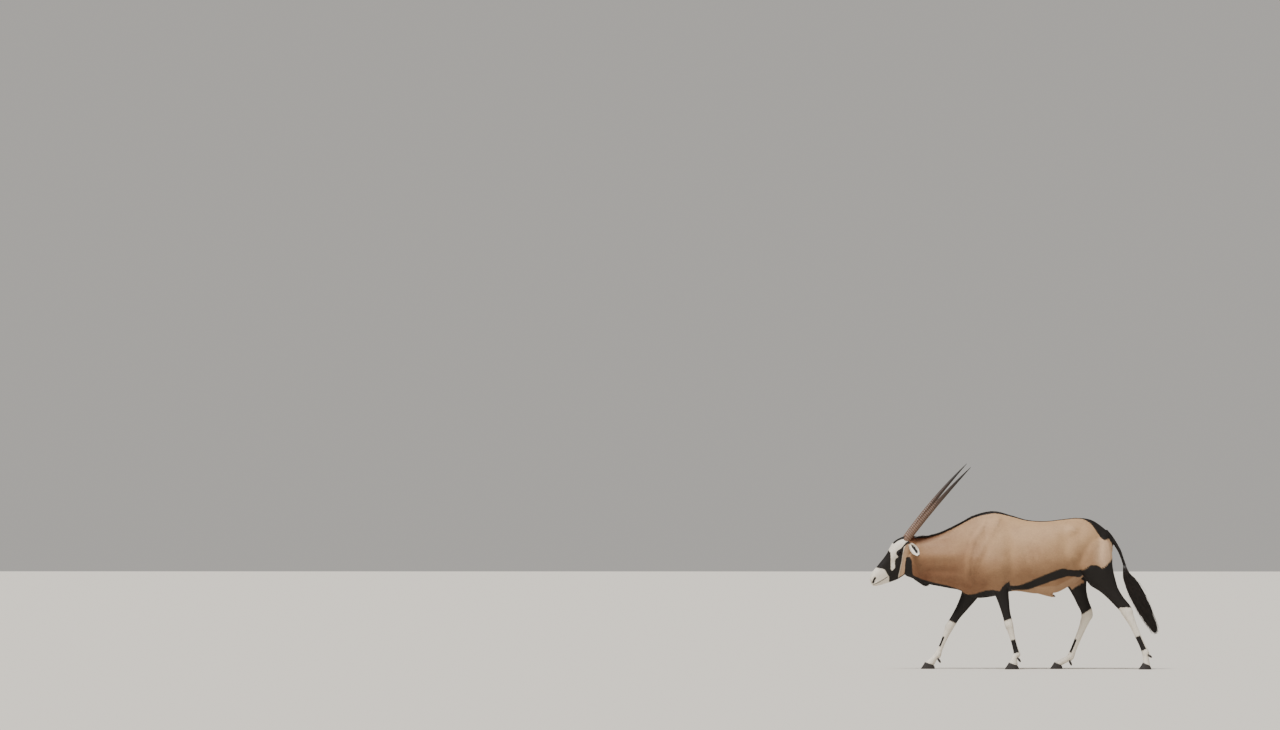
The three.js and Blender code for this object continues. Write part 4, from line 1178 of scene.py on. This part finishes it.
def grown(roots, ways, lie, length, rise, places=5):
    """Paths that leave the skin steeply and bend over along the lie: out by rise as the square root of
    the share of the length, so they stand up first and then lie flat."""
    lie = lie - ways * (lie * ways).sum(1, keepdims=True)
    lie /= np.linalg.norm(lie, axis=1, keepdims=True) + 1e-9
    u = np.linspace(0, 1, places)[None, :, None]
    return (roots[:, None] - ways[:, None] * 2 + lie[:, None] * length[:, None, None] * u
            + ways[:, None] * (rise[:, None, None] + 2) * np.sqrt(u))


# x, how long, how high, how far out the crest grows
CREST = np.array([[-790, 52, 15, 17], [-700, 52, 16, 15], [-560, 40, 13, 13], [-430, 30, 10, 13],
                  [-300, 22, 7, 15], [-100, 19, 6, 16], [440, 15, 4, 14]]).T
face_ways = skin_normals[skin_triangles].mean(1)
along = (centres[:, 0] > -786) & (centres[:, 0] < 450) & (face_ways[:, 2] > 0.35)
along &= np.abs(centres[:, 1]) < np.interp(centres[:, 0], CREST[0], CREST[3])
roots, ways = scattered(skin_points, skin_triangles[along], skin_normals, 3.3)
length, rise = (np.interp(roots[:, 0], CREST[0], CREST[k]) * (0.7 + 0.5 * random.random(len(roots)))
                for k in (1, 2))
lie = np.stack([0.95 + 0 * rise, random.normal(0, 0.2, len(rise)), -0.1 + 0 * rise], 1)
paths = grown(roots, ways, lie, length, rise * 0.8)
flat = np.cross(lie, ways)[:, None] + 0 * paths
mane_hair = coarse_hair("coarse_mane_hair", "#17100e", "#33211a")
width = 2.2 + random.random(len(roots))
locks("mane_hair", mane_hair, roots, paths, flat, width, round_trunk)

under = (centres[:, 0] > -772) & (centres[:, 0] < -664) & (face_ways[:, 2] < -0.55)
under &= np.abs(centres[:, 1]) < 24
roots, ways = scattered(skin_points, skin_triangles[under], skin_normals, 3.2)
middle = 1 - np.abs(roots[:, 0] + 718) / 60
length = (16 + 38 * middle) * (0.7 + 0.4 * random.random(len(roots)))
u = np.linspace(0, 1, 6)[None, :, None]
hang = np.stack([0.55 + random.normal(0, 0.12, len(roots)),
                 -roots[:, 1] / 60 + random.normal(0, 0.08, len(roots)),
                 -0.75 + 0 * length], 1)
paths = (roots - ways * 3)[:, None] + (hang * length[:, None])[:, None] * u
paths[..., 0] += (length * 0.12)[:, None] * u[..., 0] ** 2
flat = np.array([1.0, 0, 0.4]) + 0 * paths
throat_hair = coarse_hair("soft_throat_hair", "#0f0c0b", "#2c211c")
width = 2 + random.random(len(roots))
locks("throat_tuft_hair", throat_hair, roots, paths, flat, width, round_trunk)

# Horns
# Two long, almost straight horns of black-brown keratin, ringed over their lower half and smooth and
# darker to the points, grown over bone from the top of the skull.
HORN_LENGTH = 750
HORN_RADIUS = 25
HORN_TIP_SPREAD = 210
HORN_RINGS = 26
RINGED = 0.56  # how far up the rings reach


def horn_grid(side, steps=420, around=40):
    """A straight taper along the horn's line; rings stand out as rounded waves that die away upwards."""
    t = np.concatenate([[-0.035], np.linspace(0, 1, steps)])[:, None]
    turn = np.linspace(0, 2 * np.pi, around, endpoint=False)[None, :]
    uneven = 0.25 * np.sin(61 * t) + 0.2 * np.sin(23 * t + turn) + 0.12 * np.sin(2 * turn + 90 * t)
    wave = np.sin(np.pi * HORN_RINGS * np.clip(t, 0, RINGED) / RINGED + uneven) ** 2
    fading = np.clip((RINGED - t) / 0.12, 0, 1) * np.clip(t / 0.02, 0, 1)
    ridge = 1.9 * (1 - 0.6 * t) * (wave - 0.5) * fading - 0.4
    size = HORN_RADIUS * (1 - 0.55 * np.maximum(t, 0) - 0.37 * t**4) + ridge
    size = np.maximum(size, 1.2)
    rise = HORN_LENGTH * (0.1 * t - 0.0705 * t * t)
    spread = (HORN_TIP_SPREAD / 2 - 34) * (1.7 * t - 0.7 * t * t)
    s = 38 - HORN_LENGTH * t + 0 * turn
    return head_point(s, 9 + rise + np.sin(turn) * size, side * (34 + spread) + np.cos(turn) * size)


# Keratin: long fibres run up the horn, brown at the base and black at the point, pale and pinkish on
# the crests of the rings, with a dull polish.
keratin, tree = new_material("ringed_horn_keratin")
up = add(tree, "ShaderNodeAttribute", attribute_name="up")
crest = add(tree, "ShaderNodeAttribute", attribute_name="crest")
fibre_place = add(tree, "ShaderNodeAttribute", attribute_name="fibre")
fibre = add(tree, "ShaderNodeTexNoise", [(fibre_place.outputs["Vector"], "Vector")], Scale=1.0, Detail=5.0)
place = add(tree, "ShaderNodeTexCoord").outputs["Object"]
mottle = add(tree, "ShaderNodeTexNoise", [(place, "Vector")], Scale=40.0)
height = multiply_add(tree, mottle.outputs["Fac"], 0.25, up.outputs["Fac"])
darker = colour_ramp(tree, height, [(0.1, "#6b4f3e"), (0.6, "#483429"), (0.95, "#1d1613")])
both = [(crest.outputs["Fac"], 0), (fibre.outputs["Fac"], 1)]
# the crests of the rings turn pale pink
pale_crests = add(tree, "ShaderNodeMath", both, operation="MULTIPLY")
pale = add(tree, "ShaderNodeMix", [(pale_crests.outputs[0], "Factor")], data_type="RGBA")
tree.links.new(darker, pale.inputs[6])
pale.inputs[7].default_value = linear("#a98a74")
streaked = add(tree, "ShaderNodeHueSaturation", [(pale.outputs[2], "Color")])
value = add(tree, "ShaderNodeMapRange", [(fibre.outputs["Fac"], "Value")],
            From_Min=0.3, From_Max=0.7, To_Min=0.65, To_Max=1.3)
tree.links.new(value.outputs[0], streaked.inputs["Value"])
raised = add(tree, "ShaderNodeBump", [(fibre.outputs["Fac"], "Height")], Strength=0.5, Distance=0.0008)
surface = [(streaked.outputs[0], "Base Color"), (raised.outputs[0], "Normal")]
shader = add(tree, "ShaderNodeBsdfPrincipled", surface, Roughness=0.45)
add(tree, "ShaderNodeOutputMaterial", [(shader.outputs[0], "Surface")])

for name, side in (("left", LEFT), ("right", RIGHT)):
    grid = horn_grid(side)
    points, triangles = closed_tube(grid)
    horn = put(f"horn_{name}_keratin", points, triangles)
    rings, around = grid.shape[:2]
    t = np.concatenate([np.repeat(np.linspace(0, 1, rings), around), [0, 1]])
    turn = np.concatenate([np.tile(np.linspace(0, 2 * np.pi, around, endpoint=False), rings), [0, 0]])
    reach = np.linalg.norm(grid - grid.mean(1, keepdims=True), axis=2)
    smooth = np.convolve(reach.mean(1), np.ones(21) / 21, "same")[:, None]
    stands = np.concatenate([np.clip((reach - smooth) / 0.9, 0, 1).ravel(), [0, 0]])
    for key, values in (("up", t), ("crest", stands * (t < 0.6) * (t > 0.02))):
        store(horn, key, values)
    store(horn, "fibre", np.stack([np.cos(turn) * 7, np.sin(turn) * 7, t * 9], 1), "FLOAT_VECTOR")
    horn.data.materials.append(keratin)
    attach(horn, "root")
    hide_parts(f"horn_{name}")

# Eyes
# Large dark brown eyeballs, wet and glossy, deep in the lids, with a level oval pupil, and stiff black
# lashes on the upper lids.
eyeball, tree = new_material("wet_dark_eye")
seen = add(tree, "ShaderNodeAttribute", attribute_name="pupil")
ramp = add(tree, "ShaderNodeValToRGB", [(seen.outputs["Fac"], "Fac")])
IRIS = ((0.0, "#050404"), (0.3, "#070505"), (0.36, "#2c1a10"), (0.7, "#1f120b"), (0.8, "#080605"))
for position, shade in IRIS:
    stop = ramp.color_ramp.elements.new(position)
    stop.color = linear(shade)
shader = add(tree, "ShaderNodeBsdfPrincipled", [(ramp.outputs[0], "Base Color")], Roughness=0.1, IOR=1.33)
add(tree, "ShaderNodeOutputMaterial", [(shader.outputs[0], "Surface")])
lash_hair = coarse_hair("stiff_lash_hair", "#0b0908", "#1a1411")
for name, side in (("left", LEFT), ("right", RIGHT)):
    s, h, r = EYE_PLACE
    front, back = head_point(s - 0.1, h, side * r), head_point(s + 0.1, h, side * r)
    ball = pill(front, back, EYE_RADIUS - 0.2, around=48)
    eye = put(f"eyeball_{name}", *ball)
    ahead = ball[0] - head_point(s, h, side * r)
    level = np.array([math.cos(0.35), 0, -math.sin(0.35)])
    upright = np.cross(level, right_way)
    pupil = np.hypot(ahead @ level / 11, ahead @ upright / 6) * 0.33
    pupil = np.where(side * (ahead @ right_way) > 0, pupil, 1)
    store(eye, "pupil", np.clip(pupil, 0, 1))
    eye.data.materials.append(eyeball)
    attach(eye, "root")
    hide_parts(f"eye_{name}")

    turn = np.linspace(0.12, 0.88, 34) * np.pi
    along, up = 17.5 * np.cos(turn), 10.5 * np.sin(turn) ** 1.35
    roots = head_point(s + along * math.cos(0.2) + up * math.sin(0.2),
                       h + up * math.cos(0.2) - along * math.sin(0.2),
                       side * (r + np.sqrt(20.5**2 - along**2 - up**2)))
    u = np.linspace(0, 1, 5)[None, :, None]
    out = right_way * side * 0.8 + front_way * 0.45 + nose_way * (along / 40)[:, None]
    out = (out + random.normal(0, 0.12, out.shape)) * random.uniform(8, 13, len(out))[:, None]
    droop = front_way * -5.5 * u**2
    paths = roots[:, None] + out[:, None] * u + droop
    flat = np.broadcast_to(nose_way, paths.shape)
    width = np.full(len(turn), 0.9)
    locks(f"lashes_{name}_hair", lash_hair, roots, paths, flat, width, round_head)

# Ears
# Broad leaf-shaped ears, cupped and open to the front and side, white with a dark streak inside and a
# dark edge, thin gristle under fine hair.
EAR_LENGTH = 164


def ear_frame(side):
    """Where an ear grows from the head, and its ways: along it, out of its open side, and across."""
    root = head_point(28, -27, side * 63)
    way = head_point(0.133, -0.519, side * 0.842) - head_point(0, 0, 0)
    way /= np.linalg.norm(way)
    opening = head_point(-0.15, 0.82, side * 0.54) - head_point(0, 0, 0)
    opening -= way * (opening @ way)
    opening /= np.linalg.norm(opening)
    return root, way, opening, np.cross(way, opening) * side


def ear_surface(side, long=60, wide=41):
    """A leaf bent into a cup: rings go once round its thin section, from the root to the point."""
    root, way, opening, across = ear_frame(side)
    t = np.linspace(0, 1, long)[:, None]
    x = np.concatenate([np.linspace(-0.5, 0.5, wide), np.linspace(0.5, -0.5, wide)])[None, :]
    face = np.concatenate([np.full(wide, 0.5), np.full(wide, -0.5)])[None, :]
    swell = np.sin(np.pi * np.minimum(t, 0.97) ** 0.82) ** 0.8
    half = 15 + (6 - 15) * t + 27 * swell
    cup = 2.3 + (0.5 - 2.3) * np.minimum(t * 1.3, 1)
    turn = 2 * x * cup
    bend = half / cup
    thick = (5.5 + (2.6 - 5.5) * t) * (1 - (2 * x) ** 6 * 0.7)
    reach = bend + face * thick
    along = 6 + (EAR_LENGTH - 6) * t + 0 * x
    grid = (
        root
        + way * along[..., None]
        + across * (np.sin(turn) * reach)[..., None]
        + opening * (bend - np.cos(turn) * reach + 8 * t * t)[..., None]
    )
    return closed_tube(grid)


def ear_marks(points, side):
    """The ear's markings: a dark streak that curves down its open face, a dark point, and a fawn back."""
    root, way, opening, sideways = ear_frame(side)
    long, wide, out = ((points - root) @ axis for axis in (way, sideways, opening))
    bend = 6 * np.sin(long / 50)
    streak = 10.5 - np.abs(wide - bend) - np.maximum(44 - long, 0) * 0.3 - np.maximum(long - 118, 0) * 0.5
    rim = long - 156
    back = np.abs(wide) * 0.2 - 4 - out
    black = blend(np.minimum(streak, 8 - back), rim)
    none = 0 * out
    return {"black": black, "white": 12 - back * 2, "cream_and_shade": 20 + none, "brown": -60 + none,
            "warm_and_shade": 20 + none}


for name, side in (("left", LEFT), ("right", RIGHT)):
    root, way, opening, sideways = ear_frame(side)
    leaf = ear_surface(side)
    ear = put(f"ear_{name}_skin", *leaf)
    mark(ear, ear_marks(leaf[0], side), np.full(len(leaf[0]), 0.5))
    ear.data.materials.append(sleek)
    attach(ear, "root")
    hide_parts(f"ear_{name}")
    roots, ways = scattered(*leaf, normals_of(*leaf), 2.2)
    at = roots - root
    roots, ways, at = (values[at @ way > 10] for values in (roots, ways, at))
    within = step(ways @ opening, 0.3)
    edge = step(np.abs(at @ sideways) - 18, 8) * within
    inwards = sideways * np.sign(at @ sideways)[:, None]
    lie = way * 0.9 - inwards * edge[:, None] * 0.8 + opening * edge[:, None] * 0.3
    points, triangles, shading = tufts(roots, ways, lie, 8 + 14 * edge, 1.4)
    coat = put(f"coat_ear_{name}", points, triangles)
    shade_as(coat, shading)
    mark(coat, {key: np.repeat(values, 5) for key, values in ear_marks(roots, side).items()},
         np.repeat(random.random(len(roots)), 5))
    coat.data.materials.append(sleek)
    patch_map(coat, np.stack([at @ way, np.arctan2(at @ sideways, at @ opening - 20)], 1), 5)
    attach(coat, "root")

# Hooves and dewclaws
# Two long black claws to each foot, flat on the ground, with a narrow cleft between them, and two
# small blunt dewclaws behind the fetlock. They are matt, hard horn with fine growth lines.
CLEFT = 5


def claw_grid(leg, way):
    """Half a hoof: sections from coronet to sole, clipped flat towards the cleft."""
    toe, heel = coronet(leg)
    middle = leg["side"] * leg["out"] + way * (leg["width"] / 2 + 1)
    half = leg["width"] / 2 + 2
    rows = [
        [toe[0] + 1, toe[1] + 3, heel[0] - 3, heel[1] + 3, middle, half - 6, 0.42, 2.1, 2.4],
        [toe[0] - 1, toe[1], heel[0] - 1, heel[1], middle, half - 3, 0.42, 2.1, 2.4],
        [toe[0] - 10, toe[1] - 16, heel[0] + 4, heel[1] - 8, middle, half - 1, 0.42, 2, 2.5],
        [leg["toe"] + 3, 5, leg["toe"] + leg["length"] - 1, 4, middle, half + 1, 0.42, 1.8, 2.5],
        [leg["toe"] + 2, 0, leg["toe"] + leg["length"] - 2, 0, middle, half, 0.42, 1.8, 2.5],
    ]
    grid = upright_tube(rows, 10, 56, coat=0)
    line = leg["side"] * leg["out"] + way * CLEFT / 2
    grid[..., 1] = line + way * np.maximum(way * (grid[..., 1] - line), 0)
    return grid


horn_wall, tree = new_material("matt_hoof_horn")
place = add(tree, "ShaderNodeTexCoord").outputs["Object"]
growth = add(tree, "ShaderNodeTexWave", [(place, "Vector")],
             bands_direction="Z", Scale=55.0, Distortion=6.0, Detail=3.0)
banded = colour_ramp(tree, growth.outputs["Fac"], [(0.0, "#1b1613"), (1.0, "#2b2420")])
raised = add(tree, "ShaderNodeBump", [(growth.outputs["Fac"], "Height")], Strength=0.25, Distance=0.001)
surface = [(banded, "Base Color"), (raised.outputs[0], "Normal")]
shader = add(tree, "ShaderNodeBsdfPrincipled", surface, Roughness=0.5)
add(tree, "ShaderNodeOutputMaterial", [(shader.outputs[0], "Surface")])

for name, leg in LEGS.items():
    fetlock, foot = leg["joints"][3], leg["joints"][4]
    down = (foot - fetlock) / np.hypot(*(foot - fetlock))
    behind = np.array([-down[1], down[0]])
    for which, way in (("outer", leg["side"]), ("inner", -leg["side"])):
        x, z = fetlock + down * 20 + behind * 24
        side = leg["side"] * leg["out"] + way * 15
        tip = (x + 15 * behind[0] + 4, side + way * 3, z + 15 * behind[1] - 14)
        hoof = put(f"{name}_hoof_{which}_horn", *closed_tube(claw_grid(leg, way)))
        dewclaw = put(f"{name}_dewclaw_{which}_horn", *pill((x, side, z), tip, 9))
        for piece, node in ((hoof, "hoof"), (dewclaw, "dewclaw")):
            piece.data.materials.append(horn_wall)
            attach(piece, "root")
            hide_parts(f"{name}_{node}_{which}")

# Tail brush
# Long, coarse, near-black hair that hides the end of the dock, full in the middle and loose at the
# tip, with wisps that blow clear of the rest.
# x, z, half depth, half width
BRUSH = [
    [827.5, 786.7, 14.5, 14],
    [844, 713, 34, 24],
    [886, 636, 54, 32],
    [922, 562, 58, 34],
    [960, 487, 54, 33],
    [1002, 402, 46, 28],
    [1042, 326, 42, 22],
    [1072, 258, 34, 16],
]


def brush_point(down, turn, out):
    """A point of the brush: how far down, the turn round its middle line, and how far out."""
    knots = np.arange(len(BRUSH))
    x, z, deep, wide = through(BRUSH, knots, down).T
    ahead, back = through(BRUSH, knots, down + 0.02)[:, :2], through(BRUSH, knots, down - 0.02)[:, :2]
    way = ahead - back
    way /= np.hypot(*way.T)[:, None]
    depth = deep * out * np.cos(turn)
    return np.stack([x - way[:, 1] * depth, wide * out * np.sin(turn), z + way[:, 0] * depth], 1)


WISPS = 0.17  # share of the strands


def brush_strands(count, places=9):
    """Strands from all down the brush's core, bowed out to its outline, and running on to its point.

    A strand swells out as the sine of its share over the first half, then closes in towards the tip.
    One in six is a wisp, which keeps moving out and ends clear of the rest.
    """
    start = random.random(count) ** 1.2 * 0.7
    end = np.minimum(start + 0.28 + 0.5 * random.random(count), 0.84 + 0.15 * random.random(count))
    end = np.maximum(end, start + 0.14)
    turn = random.random(count) * 2 * np.pi
    drift = random.normal(0, 0.3, count)
    out = 0.3 + 0.66 * random.random(count) ** 0.6
    wisp = np.where(random.random(count) < WISPS, random.random(count), 0)[:, None]
    u = np.linspace(0, 1, places)
    down = start[:, None] + (end - start)[:, None] * u
    bow = np.sin(np.pi * np.minimum(u, 0.5)) ** 0.7
    snug = 0.25 + 0.5 * np.maximum(1 - down / 0.12, 0)
    reach = snug + (out[:, None] - snug) * bow
    reach = reach * (1 - 0.62 * np.maximum(down - 0.66, 0) / 0.34) + wisp * 0.6 * u**2
    swing = turn[:, None] + drift[:, None] * u
    paths = brush_point(down.ravel(), swing.ravel(), reach.ravel()).reshape(count, places, 3)
    flat = np.stack([-np.sin(swing) * 0.5, np.cos(swing), 0 * swing], 2)
    width = 4.6 * (0.7 + 0.6 * random.random(count))[:, None] * (1 - 0.85 * u**2)
    return strands(paths, flat, width, 2 * (1 - 0.7 * u) * np.ones((count, 1)))


BRUSH_STRANDS = 3000
tail_hair = coarse_hair("coarse_tail_hair", "#100c0a", "#2b201a")
points, triangles, each = brush_strands(BRUSH_STRANDS)
brush = put("tail_brush_hair", points, triangles)
brush.data.materials.append(tail_hair)
roots = points.reshape(-1, each, 3)[:, 0]
patch_map(brush, np.stack([roots[:, 2], np.arctan2(roots[:, 1], roots[:, 0] - 900)], 1), each)
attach(brush, "root")
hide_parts("tail_brush")
